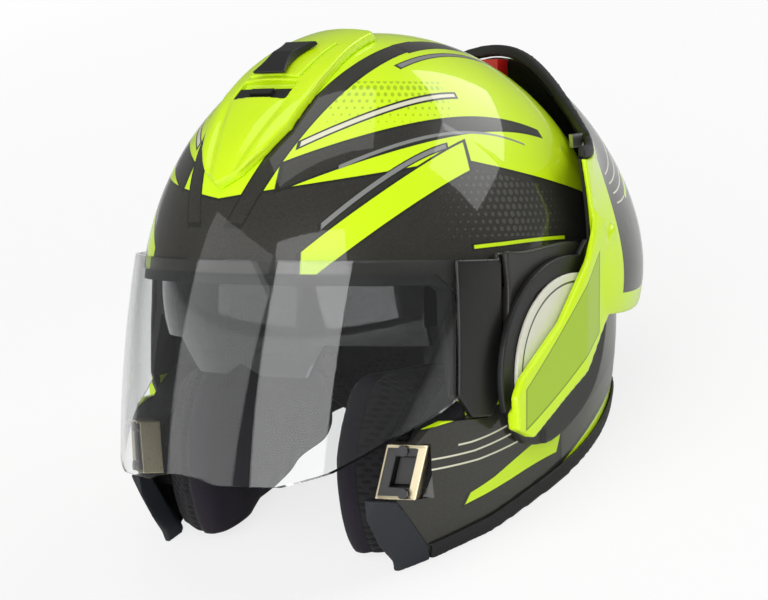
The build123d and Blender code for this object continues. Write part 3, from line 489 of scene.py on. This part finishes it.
def noise(tree, vector, scale, detail=3.0, roughness=0.55):
    """Even noise around a half, at a scale in turns for each millimetre."""
    node = tree.nodes.new("ShaderNodeTexNoise")
    node.inputs["Scale"].default_value = scale
    node.inputs["Detail"].default_value = detail
    node.inputs["Roughness"].default_value = roughness
    tree.links.new(vector, node.inputs["Vector"])
    return Value(tree, node.outputs["Fac"])


def cells(tree, vector, scale):
    """The distance to the nearest of a scatter of points."""
    node = tree.nodes.new("ShaderNodeTexVoronoi")
    node.inputs["Scale"].default_value = scale
    tree.links.new(vector, node.inputs["Vector"])
    return Value(tree, node.outputs["Distance"])


def layer(tree, below, mask, colour):
    """A colour laid over what is below it, where the mask says."""
    node = tree.nodes.new("ShaderNodeMix")
    node.data_type = "RGBA"
    tree.links.new(mask.socket, node.inputs[0])
    for source, socket in ((below, node.inputs[6]), (colour, node.inputs[7])):
        if isinstance(source, tuple):
            socket.default_value = source
        else:
            tree.links.new(source, socket)
    return node.outputs[2]


def outlined(tree, below, inside, colour, line, edge=OUTLINE):
    """A painted shape, with a thin darker line round it unless the line is None."""
    if line is not None:
        below = layer(tree, below, (inside + line).mask(), edge)
    return layer(tree, below, inside.mask(), colour)


def stroke(u, v, start, end, bow, halves, lean=0.0):
    """How far inside a tapered, bowed stripe a place is: from (u, v) to (u, v), with half widths along v."""
    length = end[0] - start[0]
    along = (u - start[0] - (v - start[1]) * lean) / length
    bend = along * (-along + 1.0) * (4.0 * bow)
    middle = along * (end[1] - start[1]) + start[1] + bend
    half = along * (halves[1] - halves[0]) + halves[0]
    across = half - (v - middle).size()
    ends = along.least(-along + 1.0) * abs(length)
    return across.least(ends)


def fine_lines(u, v, start, end, moves, bow, half):
    """How far inside each of a few like thin lines a place is."""
    for move in moves:
        first = (start[0] + move, start[1] + move)
        yield stroke(u, v, first, (end[0], end[1] + move), bow, (half, half))


def within(value, limits):
    """How far a value is inside its low and high limits."""
    return (value - limits[0]).least(-value + limits[1])


def dots(u, v, pitch, radius):
    """How far inside one of a staggered field of round dots a place is."""
    row_height = pitch * 0.866
    row = (v / row_height).whole()
    shift = (row * 0.5).fraction()
    across = ((u / pitch + shift).fraction() - 0.5) * pitch
    up = ((v / row_height).fraction() - 0.5) * row_height
    return -(across * across + up * up).root() + radius


def new_material(name):
    material = bpy.data.materials.new(name)
    material.use_nodes = True
    return material, material.node_tree, material.node_tree.nodes["Principled BSDF"]


def set_sockets(shader, values):
    for name, value in values.items():
        shader.inputs[name].default_value = value


def bump(tree, shader, height, distance, strength=1.0, socket="Normal"):
    node = tree.nodes.new("ShaderNodeBump")
    node.inputs["Strength"].default_value = strength
    node.inputs["Distance"].default_value = distance
    tree.links.new(height.socket, node.inputs["Height"])
    tree.links.new(node.outputs["Normal"], shader.inputs[socket])


# Materials


def gloss_paint(name, paint):
    """Painted shell: metal flake in the base coat, a hard clear coat over it, and fine orange peel."""
    material, tree, shader = new_material(name)
    x, y, z, place = worn_axes(tree)
    colour = paint(tree, x.size(), y, z, place)
    flake = noise(tree, place, scale=3.5, detail=1.0)
    tone = layer(tree, colour, (flake - 0.62).mask(soft=0.3) * 0.05, FLAKE)
    tree.links.new(tone, shader.inputs["Base Color"])
    haze = noise(tree, place, scale=0.02, detail=2.0)
    tree.links.new((haze * 0.12 + 0.27).socket, shader.inputs["Roughness"])
    set_sockets(shader, {
        "Specular IOR Level": 0.15, "Coat Weight": 0.75, "Coat Roughness": 0.035, "Coat IOR": 1.5,
    })
    peel = noise(tree, place, scale=0.35, detail=1.0)
    bump(tree, shader, peel, distance=0.00003, strength=0.35, socket="Coat Normal")
    return material


def shell_paint(tree, x, y, z, place):
    """The livery of the shell: graphite below, yellow crown, and tapered sweeps with fine lines."""
    ahead = -(y - SHELL_CENTRE_Y)
    turn = x.degrees_from(ahead)
    climb = (z - SHELL_CENTRE_Z).degrees_from(ahead)
    crown_edge = (turn * CROWN_RISE + CROWN_RISE_Z).least(turn * CROWN_FALL + CROWN_FALL_Z)
    colour = outlined(tree, GRAPHITE, z - crown_edge, YELLOW, CROWN_LINE)

    fade = within(turn, SPOT_TURNS) / SPOT_FADE
    spots = dots(turn * SPOT_STRETCH, z, SPOT_PITCH, fade.most(0.0) * SPOT_RADIUS)
    field = (crown_edge - z - SPOT_EDGE_GAP).mask() * (z - SPOT_LOW_Z).mask()
    colour = layer(tree, colour, spots.mask() * field, GRAPHITE_LIGHT)
    haze = dots(turn * HAZE_STRETCH, z, HAZE_PITCH, z.ramp(HAZE_START, HAZE_SPAN) * HAZE_RADIUS)
    field = within(turn, HAZE_TURNS).least(within(z, HAZE_HEIGHTS))
    colour = layer(tree, colour, haze.mask() * field.mask(), YELLOW_DEEP)

    for axes, start, end, bow, halves, lean, paint, line in SHELL_STRIPES:
        u, v = (turn, z) if axes == "round" else (climb, x)
        colour = outlined(tree, colour, stroke(u, v, start, end, bow, halves, lean), paint, line)
    for fine in fine_lines(turn, z, *SHELL_LINES):
        colour = layer(tree, colour, fine.mask(FINE_EDGE), CREAM)
    return colour


def cowl_paint(tree, x, y, z, place):
    """Plain yellow with a faint drift of tone."""
    drift = noise(tree, place, scale=0.03, detail=1.0)
    return layer(tree, YELLOW, (drift - 0.5).mask(soft=0.6) * 0.2, YELLOW_DEEP)


def bar_paint(tree, x, y, z, place):
    """The livery of the chin bar: yellow edges and arms round a graphite panel with fine lines, and painted
    shade on each arm's raised facet, with a darker painted crease line round it.
    """
    behind = y - BAR_AXIS_Y
    reach = (x * x + behind * behind).root()
    facing = (behind / reach).most(0.0)
    low = facing.power(BAR_LOW_POWER) * BAR_LOW_RISE + BAR_LOW_SIDE_Z
    lip = facing.power(BAR_LIP_POWER) * BAR_LIP_RISE + (BAR_LIP_SIDE_Z - LIP_TRIM_HEIGHT)
    turn = x.degrees_from(behind)
    under_lip = lip - z
    over_low = z - low
    front = y - PANEL_FRONT_Y - (z - PANEL_FRONT_Z) * PANEL_FRONT_LEAN
    panel = (under_lip - PANEL_LIP_GAP).least(over_low - PANEL_LOW_GAP).least(front)
    colour = outlined(tree, YELLOW, panel, GRAPHITE, 1.0)
    for fine in fine_lines(turn, under_lip, *BAR_LINES):
        colour = layer(tree, colour, fine.mask(FINE_EDGE) * (panel - 2.0).mask(), CREAM)
    across, up = turn * LATTICE_ROUND, under_lip * LATTICE_UP
    rising = ((across + up).fraction() - 0.5).size() - LATTICE_LINE
    falling = ((across - up).fraction() - 0.5).size() - LATTICE_LINE
    zone = (panel - LATTICE_GAP).least(within(turn, LATTICE_TURNS))
    lattice = rising.most(falling).mask(soft=0.06) * zone.mask()
    colour = layer(tree, colour, lattice * LATTICE_SHARE, SILVER)
    sweep = stroke(turn, under_lip, *BAR_SWEEP)
    colour = outlined(tree, colour, sweep.least(panel - 1.5), YELLOW, 1.0)
    # Painted shade: a deeper yellow panel for the shaded facet on each arm, ringed by a darker painted
    # crease line
    facet_shade = stroke(y, z, *ARM_PAINTED_SHADE).least(x - ARM_PAINTED_SHADE_X)
    return outlined(tree, colour, facet_shade, YELLOW_DEEP, 1.0, edge=YELLOW_CREASE_SHADE)


def moulded(name, colour, roughness, grain, depth):
    """Moulded plastic or rubber with a fine grain and slightly rubbed places."""
    material, tree, shader = new_material(name)
    place = worn_axes(tree)[3]
    cloud = noise(tree, place, scale=0.05, detail=4.0)
    lighter = tuple(min(part * 1.9 + 0.012, 1.0) for part in colour[:3]) + (1.0,)
    tone = layer(tree, colour, (cloud - 0.5).mask(soft=0.5) * 0.24, lighter)
    tree.links.new(tone, shader.inputs["Base Color"])
    tree.links.new((cloud * 0.2 + (roughness - 0.1)).socket, shader.inputs["Roughness"])
    bump(tree, shader, noise(tree, place, grain, detail=2.0), depth, strength=0.6)
    return material


def brushed(name, colour, roughness):
    """Bright or cast metal with fine drawn lines."""
    material, tree, shader = new_material(name)
    place = worn_axes(tree)[3]
    stretch = tree.nodes.new("ShaderNodeMapping")
    stretch.inputs["Scale"].default_value = (1.0, 1.0, 0.05)
    tree.links.new(place, stretch.inputs["Vector"])
    grain = noise(tree, stretch.outputs["Vector"], scale=2.5, detail=3.0)
    darker = tuple(part * 0.7 for part in colour[:3]) + (1.0,)
    tree.links.new(layer(tree, colour, grain * 0.35, darker), shader.inputs["Base Color"])
    tree.links.new((grain * 0.22 + (roughness - 0.1)).socket, shader.inputs["Roughness"])
    set_sockets(shader, {"Metallic": 1.0})
    bump(tree, shader, grain, distance=0.00004, strength=0.5)
    return material


def velour(name):
    """The lining: a dark plum velour, with a perforated mesh band round the outer part of each pad."""
    material, tree, shader = new_material(name)
    x, y, z, place = worn_axes(tree)
    nap = noise(tree, place, scale=0.9, detail=4.0)
    cloud = noise(tree, place, scale=0.04, detail=3.0)
    pile = layer(tree, srgb(20, 16, 26), (nap - 0.5).mask(soft=0.5) * 0.5, srgb(40, 34, 49))
    pile = layer(tree, pile, (cloud - 0.5).mask(soft=0.4) * 0.4, srgb(14, 11, 18))
    band = x.size() - PAD_SEAM
    holes = dots(y, z, pitch=3.4, radius=1.05).mask(soft=0.3)
    knit = layer(tree, srgb(24, 24, 28), holes, srgb(4, 4, 5))
    knitted = band.mask(soft=0.6)
    colour = layer(tree, pile, knitted, knit)
    colour = layer(tree, colour, (-(band.size() - 0.7)).mask(soft=0.3), srgb(12, 11, 15))
    tree.links.new(colour, shader.inputs["Base Color"])
    set_sockets(shader, {"Roughness": 0.95, "Sheen Weight": 0.06, "Sheen Roughness": 0.45})
    bump(tree, shader, nap * 0.5 - holes * knitted * 1.6, distance=0.0005, strength=0.7)
    return material


def bead_foam(name):
    """Expanded beads pressed together."""
    material, tree, shader = new_material(name)
    place = worn_axes(tree)[3]
    bead = cells(tree, place, scale=0.3)
    colour = layer(tree, srgb(16, 16, 18), (bead - 0.3).mask(soft=0.5) * 0.6, srgb(34, 34, 38))
    tree.links.new(colour, shader.inputs["Base Color"])
    set_sockets(shader, {"Roughness": 0.85})
    bump(tree, shader, -bead, distance=0.0006, strength=0.7)
    return material


def woven(name):
    """Black strap webbing: ribs along the strap, crossed by fine picks."""
    material, tree, shader = new_material(name)
    x, y, z, place = worn_axes(tree)
    rib = ((y / 1.6).fraction() - 0.5).size() * 2.0
    pick = (((x + z) / 1.1).fraction() - 0.5).size() * 2.0
    weave = rib.least(pick)
    colour = layer(tree, srgb(18, 18, 20), weave, srgb(52, 52, 56))
    tree.links.new(colour, shader.inputs["Base Color"])
    set_sockets(shader, {"Roughness": 0.9, "Sheen Weight": 0.2})
    bump(tree, shader, weave, distance=0.0004, strength=0.8)
    return material


def lens_plastic(name, colour, roughness):
    """A clear or smoke lens, with the faintest marks of cleaning."""
    material, tree, shader = new_material(name)
    cloud = noise(tree, worn_axes(tree)[3], scale=0.02, detail=4.0)
    tree.links.new((cloud * 0.03 + roughness).socket, shader.inputs["Roughness"])
    set_sockets(shader, {"Base Color": colour, "Transmission Weight": 1.0, "IOR": 1.45})
    return material


def cover_paint(name):
    """The pearl cover of the hub, with a thin groove round its middle, pressed in by bump and darkened with
    painted shade.
    """
    material, tree, shader = new_material(name)
    y, z, place = worn_axes(tree)[1:]
    cloud = noise(tree, place, scale=0.06, detail=3.0)
    colour = layer(tree, srgb(226, 224, 208), (cloud - 0.5).mask(soft=0.6) * 0.5, srgb(206, 205, 190))
    behind, above = y - COVER_LINE_Y, z - COVER_LINE_Z
    far_out = (behind * behind + above * above).root()
    groove = -(far_out - COVER_LINE_RADIUS).size() + COVER_LINE_HALF
    # Painted shade darkens the groove
    colour = layer(tree, colour, groove.mask(soft=0.3), srgb(60, 60, 54))
    tree.links.new(colour, shader.inputs["Base Color"])
    set_sockets(shader, {"Roughness": 0.35, "Coat Weight": 0.8, "Coat Roughness": 0.06})
    bump(tree, shader, groove.mask(soft=0.5), distance=-0.0003, strength=0.8)
    return material


# Shapes


def vertex_values(piece, name):
    """One of the vertices' vectors, a row for each vertex."""
    values = np.empty(len(piece.data.vertices) * 3)
    piece.data.vertices.foreach_get(name, values)
    return values.reshape(-1, 3)


def set_places(piece, places):
    piece.data.vertices.foreach_set("co", places.ravel())
    piece.data.update()


def worn_points(piece):
    matrix = np.array(TO_WORN)
    return vertex_values(piece, "co") @ matrix[:3, :3].T + matrix[:3, 3]


def press_in(piece, points, depth):
    """Moves the vertices in along their normals, by a depth in millimetres."""
    normals = vertex_values(piece, "normal") @ WORN_TURN.T
    matrix = np.array(TO_ROW)
    set_places(piece, (points - normals * depth[:, None]) @ matrix[:3, :3].T + matrix[:3, 3])
    return piece


def shell_level(points):
    """1 on the shell's outer surface, less inside it and more outside."""
    x = np.abs(points[:, 0])
    y = points[:, 1] - SHELL_CENTRE_Y
    z = points[:, 2] - SHELL_CENTRE_Z
    depth = np.clip(-z, 0, None)
    side = np.sqrt(np.clip(1 - (depth / SIDE_TAPER) ** 2, LEAST_TAPER, None))
    nape = np.sqrt(np.clip(1 - (depth / NAPE_TAPER) ** 2, LEAST_TAPER, None))
    share = np.clip(depth / JAW_SQUARE_DEPTH, 0, 1)
    power = np.where(y < 0, 2 + share * share * (3 - 2 * share), 2.0)
    length = np.where(y < 0, SHELL_FRONT * side, SHELL_REAR * nape)
    plan = (x / (SHELL_HALF_WIDTH * side)) ** power + (np.abs(y) / length) ** power
    return plan + (np.clip(z, 0, None) / SHELL_TOP) ** 2


def visor_level(points):
    """1 on the visor's outer surface."""
    heights, halves, fronts = zip(*VISOR_LEVELS)
    half = np.polyval(np.polyfit(heights, halves, 2), points[:, 2])
    front = np.polyval(np.polyfit(heights, fronts, 2), points[:, 2])
    y = points[:, 1] - VISOR_CENTRE_Y
    return (points[:, 0] / half) ** 2 + (y / front) ** 2


def slopes(level, points, step=0.4):
    """The direction in which a form's level rises fastest, at each point."""
    rises = []
    for axis in range(3):
        shift = np.zeros(3)
        shift[axis] = step
        rises.append(level(points + shift) - level(points - shift))
    found = np.stack(rises, axis=1)
    return found / np.linalg.norm(found, axis=1)[:, None]


def add_piece(name, mesh):
    piece = bpy.data.objects.new(name, mesh)
    bpy.context.scene.collection.objects.link(piece)
    return piece


def mesh_from(shape, name):
    """A mesh from a finished bmesh, with its faces turned outwards."""
    bmesh.ops.recalc_face_normals(shape, faces=shape.faces)
    mesh = bpy.data.meshes.new(name)
    shape.to_mesh(mesh)
    shape.free()
    return mesh


def node_copy(node, name):
    """A new piece with the mesh of a CAD node, which it replaces."""
    piece = add_piece(name, nodes[node].data.copy())
    piece.data.materials.clear()
    return piece


def settle(piece, node, material):
    """Gives a piece its material and body, in place of a CAD node."""
    piece.data.materials.append(material)
    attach(piece, nodes[node]["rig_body"])
    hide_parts(node)
    return piece


def true_normals(piece, level, agree=0.93):
    """Shades a piece by the form that it was cut from, wherever a face lies on that form."""
    mesh = piece.data
    count = len(mesh.polygons)
    face = np.empty(count * 3)
    mesh.polygons.foreach_get("normal", face)
    face = face.reshape(-1, 3) @ WORN_TURN.T
    sizes = np.empty(count, dtype=int)
    mesh.polygons.foreach_get("loop_total", sizes)
    owner = np.repeat(np.arange(count), sizes)
    corner = np.empty(len(mesh.loops), dtype=int)
    mesh.loops.foreach_get("vertex_index", corner)
    rise = slopes(level, worn_points(piece))[corner]
    flat = face[owner]
    match = np.sum(rise * flat, axis=1)
    smooth = np.where(match[:, None] < 0, -rise, rise)
    result = np.where(np.abs(match)[:, None] > agree, smooth, flat)
    row = result @ WORN_TURN
    row = row / np.linalg.norm(row, axis=1)[:, None]
    mesh.polygons.foreach_set("use_smooth", [True] * count)
    mesh.normals_split_custom_set(row.tolist())
    return piece


def apply_modifiers(piece):
    depsgraph = bpy.context.evaluated_depsgraph_get()
    mesh = bpy.data.meshes.new_from_object(piece.evaluated_get(depsgraph))
    old = piece.data
    piece.modifiers.clear()
    piece.data = mesh
    bpy.data.meshes.remove(old)


def remeshed(node, name, voxel, rounds):
    """A copy of a node with its edges softly rounded, as mouldings are."""
    piece = node_copy(node, name)
    remesh = piece.modifiers.new("remesh", "REMESH")
    remesh.mode = "VOXEL"
    remesh.voxel_size = voxel
    remesh.use_smooth_shade = True
    smooth = piece.modifiers.new("smooth", "SMOOTH")
    smooth.iterations = rounds
    smooth.factor = 0.5
    apply_modifiers(piece)
    piece.data.materials.clear()
    return piece


def padding(node, name, inset, cap, pressure):
    """A sewn pad from a CAD cushion: remeshed, drawn in a little, and swelled as cloth under pressure."""
    piece = remeshed(node, name, CLOTH_VOXEL, rounds=2)
    shrink = piece.modifiers.new("shrink", "DISPLACE")
    shrink.strength = -inset
    shrink.mid_level = 0.0
    apply_modifiers(piece)
    start = vertex_values(piece, "co")
    cloth = piece.modifiers.new("swell", "CLOTH")
    for setting, value in CLOTH_SETTINGS.items():
        setattr(cloth.settings, setting, value)
    cloth.settings.uniform_pressure_force = pressure
    cloth.settings.effector_weights.gravity = 0.0
    cloth.point_cache.frame_start = 1
    cloth.point_cache.frame_end = CLOTH_FRAMES
    scene = bpy.context.scene
    for step in range(1, CLOTH_FRAMES + 1):
        scene.frame_set(step)
    apply_modifiers(piece)
    scene.frame_set(1)
    move = vertex_values(piece, "co") - start
    size = np.linalg.norm(move, axis=1)
    share = np.minimum(1.0, cap / np.maximum(size, 1e-9))
    piece.data.vertices.foreach_set("co", (start + move * share[:, None]).ravel())
    return piece


def subdivided(piece):
    level = piece.modifiers.new("finer", "SUBSURF")
    level.levels = 1
    level.render_levels = 1
    apply_modifiers(piece)
    piece.data.polygons.foreach_set("use_smooth", [True] * len(piece.data.polygons))
    return piece


def seam(piece, place):
    """Draws the cover in along a seam that runs at a given distance from the middle of the helmet."""
    points = worn_points(piece)
    pull = np.exp(-((np.abs(points[:, 0]) - place) / SEAM_WIDTH) ** 2)
    return press_in(piece, points, pull * SEAM_DEPTH)


def strap_band(name, side):
    """One half of the chin strap: a flat woven band from its rivet down to the buckle."""
    line = [Vector((*STRAP_TOP, 0)), Vector((*STRAP_CORNER, 0))]
    for index in range(1, STRAP_STEPS + 1):
        t = index / STRAP_STEPS
        shares = ((1 - t) * (1 - 2 * t), 4 * t * (1 - t), t * (2 * t - 1))
        marks = (STRAP_CORNER, STRAP_MIDDLE, STRAP_END)
        x, z = [sum(share * mark[axis] for share, mark in zip(shares, marks)) for axis in range(2)]
        line.append(Vector((x, z, 0)))
    half, thick, shoulder = STRAP_HALF, STRAP_THICK, STRAP_HALF - STRAP_EDGE
    face = (-shoulder, -half / 2, 0, half / 2, shoulder)
    outline = [(-half, 0)] + [(across, thick) for across in face]
    outline += [(half, 0)] + [(across, -thick) for across in reversed(face)]
    shape = bmesh.new()
    rings = []
    for index, point in enumerate(line):
        before = line[max(index - 1, 0)]
        after = line[min(index + 1, len(line) - 1)]
        way = (after - before).normalized()
        normal = Vector((-way.y, way.x, 0))
        ring = []
        for across, out in outline:
            spot = point + normal * out
            ring.append(shape.verts.new(TO_ROW @ Vector((side * spot.x, STRAP_Y + across, spot.y))))
        rings.append(ring)
    for low, high in zip(rings, rings[1:]):
        for index in range(len(outline)):
            other = (index + 1) % len(outline)
            shape.faces.new((low[index], low[other], high[other], high[index]))
    shape.faces.new(rings[0])
    shape.faces.new(list(reversed(rings[-1])))
    mesh = mesh_from(shape, "strap")
    mesh.polygons.foreach_set("use_smooth", [True] * len(mesh.polygons))
    return add_piece(name, mesh)


def striker_frame(name, side):
    """The latch striker: a gilt frame, wide at its outer edge, round a black seat with the hook's pocket."""
    place = Matrix.Translation(STRIKER_PLACE) @ Matrix.Rotation(STRIKER_TURN, 4, "Z")
    shape = bmesh.new()
    loops = []
    for low_x, high_x, half_z, y in STRIKER_RINGS:
        lean = half_z * STRIKER_LEAN / STRIKER_HALF_HEIGHT
        low, high = low_x * STRIKER_NARROW, high_x * STRIKER_NARROW
        top_lean = lean * STRIKER_TOP_LEAN
        corners = (
            (low - lean, -half_z), (high - lean, -half_z),
            (high + top_lean, half_z), (low + top_lean, half_z),
        )
        loop = []
        for x, z in corners:
            spot = place @ Vector((x, y, z))
            loop.append(shape.verts.new(TO_ROW @ Vector((side * spot.x, spot.y, spot.z))))
        loops.append(loop)
    for step, (low, high) in enumerate(zip(loops, loops[1:])):
        for index in range(4):
            other = (index + 1) % 4
            face = shape.faces.new((low[index], low[other], high[other], high[index]))
            face.material_index = 0 if step < STRIKER_GILT_STEPS else 1
    shape.faces.new(loops[0])
    floor = shape.faces.new(loops[-1])
    floor.material_index = 1
    piece = add_piece(name, mesh_from(shape, name))
    soften = piece.modifiers.new("soften", "BEVEL")
    soften.width = STRIKER_BEVEL
    soften.segments = 3
    return piece


def let_down(piece):
    """Lets the lower end of a cheek pad hang fuller, down to just above the rim's plane."""
    places = vertex_values(piece, "co")
    height = places[:, 2]
    share = np.clip((PAD_HANG_TOP - height) / PAD_HANG_SPAN, 0, 1)
    room = np.clip((height - PAD_FLOOR) / PAD_HANG, 0, 1)
    places[:, 2] = height - PAD_HANG * share * room * PAD_HANG_SHARE
    set_places(piece, places)
    return piece


def waisted(piece, node):
    """Draws a grip in towards its middle, for the fingers."""
    low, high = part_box(node)
    places = vertex_values(piece, "co")
    share = (2 * places[:, 1] - low[1] - high[1]) / (high[1] - low[1])
    places[:, 0] *= GRIP_WAIST + GRIP_FLARE * share * share
    set_places(piece, places)
    return piece


def creases(piece):
    """Two shallow pressed lines that run up the cowl from its tip."""
    points = worn_points(piece)
    climb = np.degrees(np.arctan2(points[:, 2] - SHELL_CENTRE_Z, SHELL_CENTRE_Y - points[:, 1]))
    line = CREASE_FOOT[1] + (climb - CREASE_FOOT[0]) * CREASE_SLOPE
    off = np.abs(points[:, 0]) - line
    rise = np.clip((climb - CREASE_START) / CREASE_FADE_IN, 0, 1)
    run = rise * np.clip((CREASE_END - climb) / CREASE_FADE_OUT, 0, 1)
    ridge = np.exp(-((off - CREASE_RIDGE_OFF) / CREASE_RIDGE_WIDTH) ** 2)
    dip = np.exp(-(off / CREASE_DIP_WIDTH) ** 2) - CREASE_RIDGE_SHARE * ridge
    outer = shell_level(points) > CREASE_OUTER_LEVEL
    return press_in(piece, points, dip * run * outer * CREASE_DEPTH)


def paint_node(name, material):
    node = nodes[name]
    node.data.materials.clear()
    node.data.materials.append(material)


add_camera()
add_world()
add_floor()
for lamp in LAMPS:
    area_light(*lamp)

shell_finish = gloss_paint("shell_livery", shell_paint)
bar_finish = gloss_paint("bar_livery", bar_paint)
cowl_finish = gloss_paint("cowl_yellow", cowl_paint)
housing_finish = moulded("housing_satin", srgb(34, 33, 30), roughness=0.38, grain=0.8, depth=0.00002)
black_plastic = moulded("black_plastic", srgb(15, 15, 16), roughness=0.42, grain=1.2, depth=0.00004)
bracket_plastic = moulded("bracket_plastic", srgb(24, 23, 22), roughness=0.36, grain=1.0, depth=0.00003)
blue_rubber = moulded("jaw_rubber", srgb(26, 29, 36), roughness=0.55, grain=1.6, depth=0.00005)
black_rubber = moulded("black_rubber", srgb(13, 13, 15), roughness=0.6, grain=1.6, depth=0.00005)
red_plastic = moulded("red_plastic", srgb(186, 22, 24), roughness=0.35, grain=0.8, depth=0.00002)
gilt_metal = brushed("latch_gilt", srgb(226, 214, 180), roughness=0.3)
steel = brushed("steel", srgb(172, 172, 170), roughness=0.32)
black_steel = brushed("black_steel", srgb(62, 62, 64), roughness=0.4)
lining_cloth = velour("lining_velour")
webbing = woven("strap_webbing")
pearl = cover_paint("cover_pearl")
clear_lens = lens_plastic("clear_lens", (0.96, 0.97, 0.97, 1), roughness=0.0)

# What each CAD node's slot is finished with, where no piece below replaces the node
finishes = {
    "shell_paint": cowl_finish,
    "graphite": housing_finish,
    "dark_plastic": black_plastic,
    "rubber": black_rubber,
    "foam": bead_foam("bead_foam"),
    "lining": lining_cloth,
    "webbing": webbing,
    "steel": steel,
    "latch_metal": gilt_metal,
    "red_plastic": red_plastic,
    "cream": pearl,
    "clear": clear_lens,
    "smoke": lens_plastic("smoke_lens", srgb(96, 98, 104), roughness=0.02),
}
for name, slot_name in slots.items():
    paint_node(name, finishes[slot_name])
paint_node("striker_screws", black_steel)

# Mouldings: node, piece, voxel in metres, rounds of smoothing and finish
MOULDINGS = [
    ("slider_track", "track_plate", 0.0006, 5, cowl_finish),
    ("chin_bar_shell", "bar_skin", 0.001, 12, bar_finish),
    ("chin_lip_trim", "lip_edge", 0.0011, 6, black_rubber),
    ("rim_trim", "rim_bead", 0.0012, 4, black_rubber),
]
for side in ("left", "right"):
    MOULDINGS += [
        ("pivot_housing_" + side, "housing_" + side, 0.0008, 4, housing_finish),
        ("pivot_plate_" + side, "hub_plate_" + side, 0.0007, 4, black_plastic),
        ("pivot_cover_" + side, "hub_cover_" + side, 0.0006, 4, pearl),
        ("jaw_cover_" + side, "jaw_rubber_" + side, 0.0009, 6, blue_rubber),
        ("visor_bracket_" + side, "bracket_" + side, 0.0007, 3, bracket_plastic),
    ]

settle(true_normals(node_copy("outer_shell", "shell_skin"), shell_level), "outer_shell", shell_finish)
settle(true_normals(node_copy("visor", "visor_lens"), visor_level), "visor", clear_lens)
settle(creases(remeshed("vent_cowl", "cowl_skin", 0.0006, 16)), "vent_cowl", cowl_finish)
grip = waisted(remeshed("sun_visor_slider", "slider_grip", 0.0005, 12), "sun_visor_slider")
settle(grip, "sun_visor_slider", black_plastic)
for node, name, voxel, rounds, finish in MOULDINGS:
    settle(remeshed(node, name, voxel, rounds), node, finish)
for side, sign in (("left", 1), ("right", -1)):
    striker = settle(striker_frame("striker_frame_" + side, sign), "latch_striker_" + side, gilt_metal)
    striker.data.materials.append(black_plastic)
    settle(strap_band("strap_band_" + side, sign), "chin_strap_" + side, webbing)
    pad = padding("cheek_pad_" + side, "cheek_cushion_" + side, inset=0.002, cap=0.004, pressure=4.0)
    pad = let_down(seam(subdivided(pad), PAD_SEAM))
    settle(pad, "cheek_pad_" + side, lining_cloth)
crown = padding("crown_lining", "crown_padding", inset=0.0015, cap=0.003, pressure=3.0)
settle(seam(subdivided(crown), CROWN_SEAM), "crown_lining", lining_cloth)
roll = padding("neck_roll", "neck_padding", inset=0.0015, cap=0.003, pressure=3.0)
settle(seam(subdivided(roll), NECK_SEAM), "neck_roll", lining_cloth)

bpy.context.scene.view_settings.view_transform = "Standard"
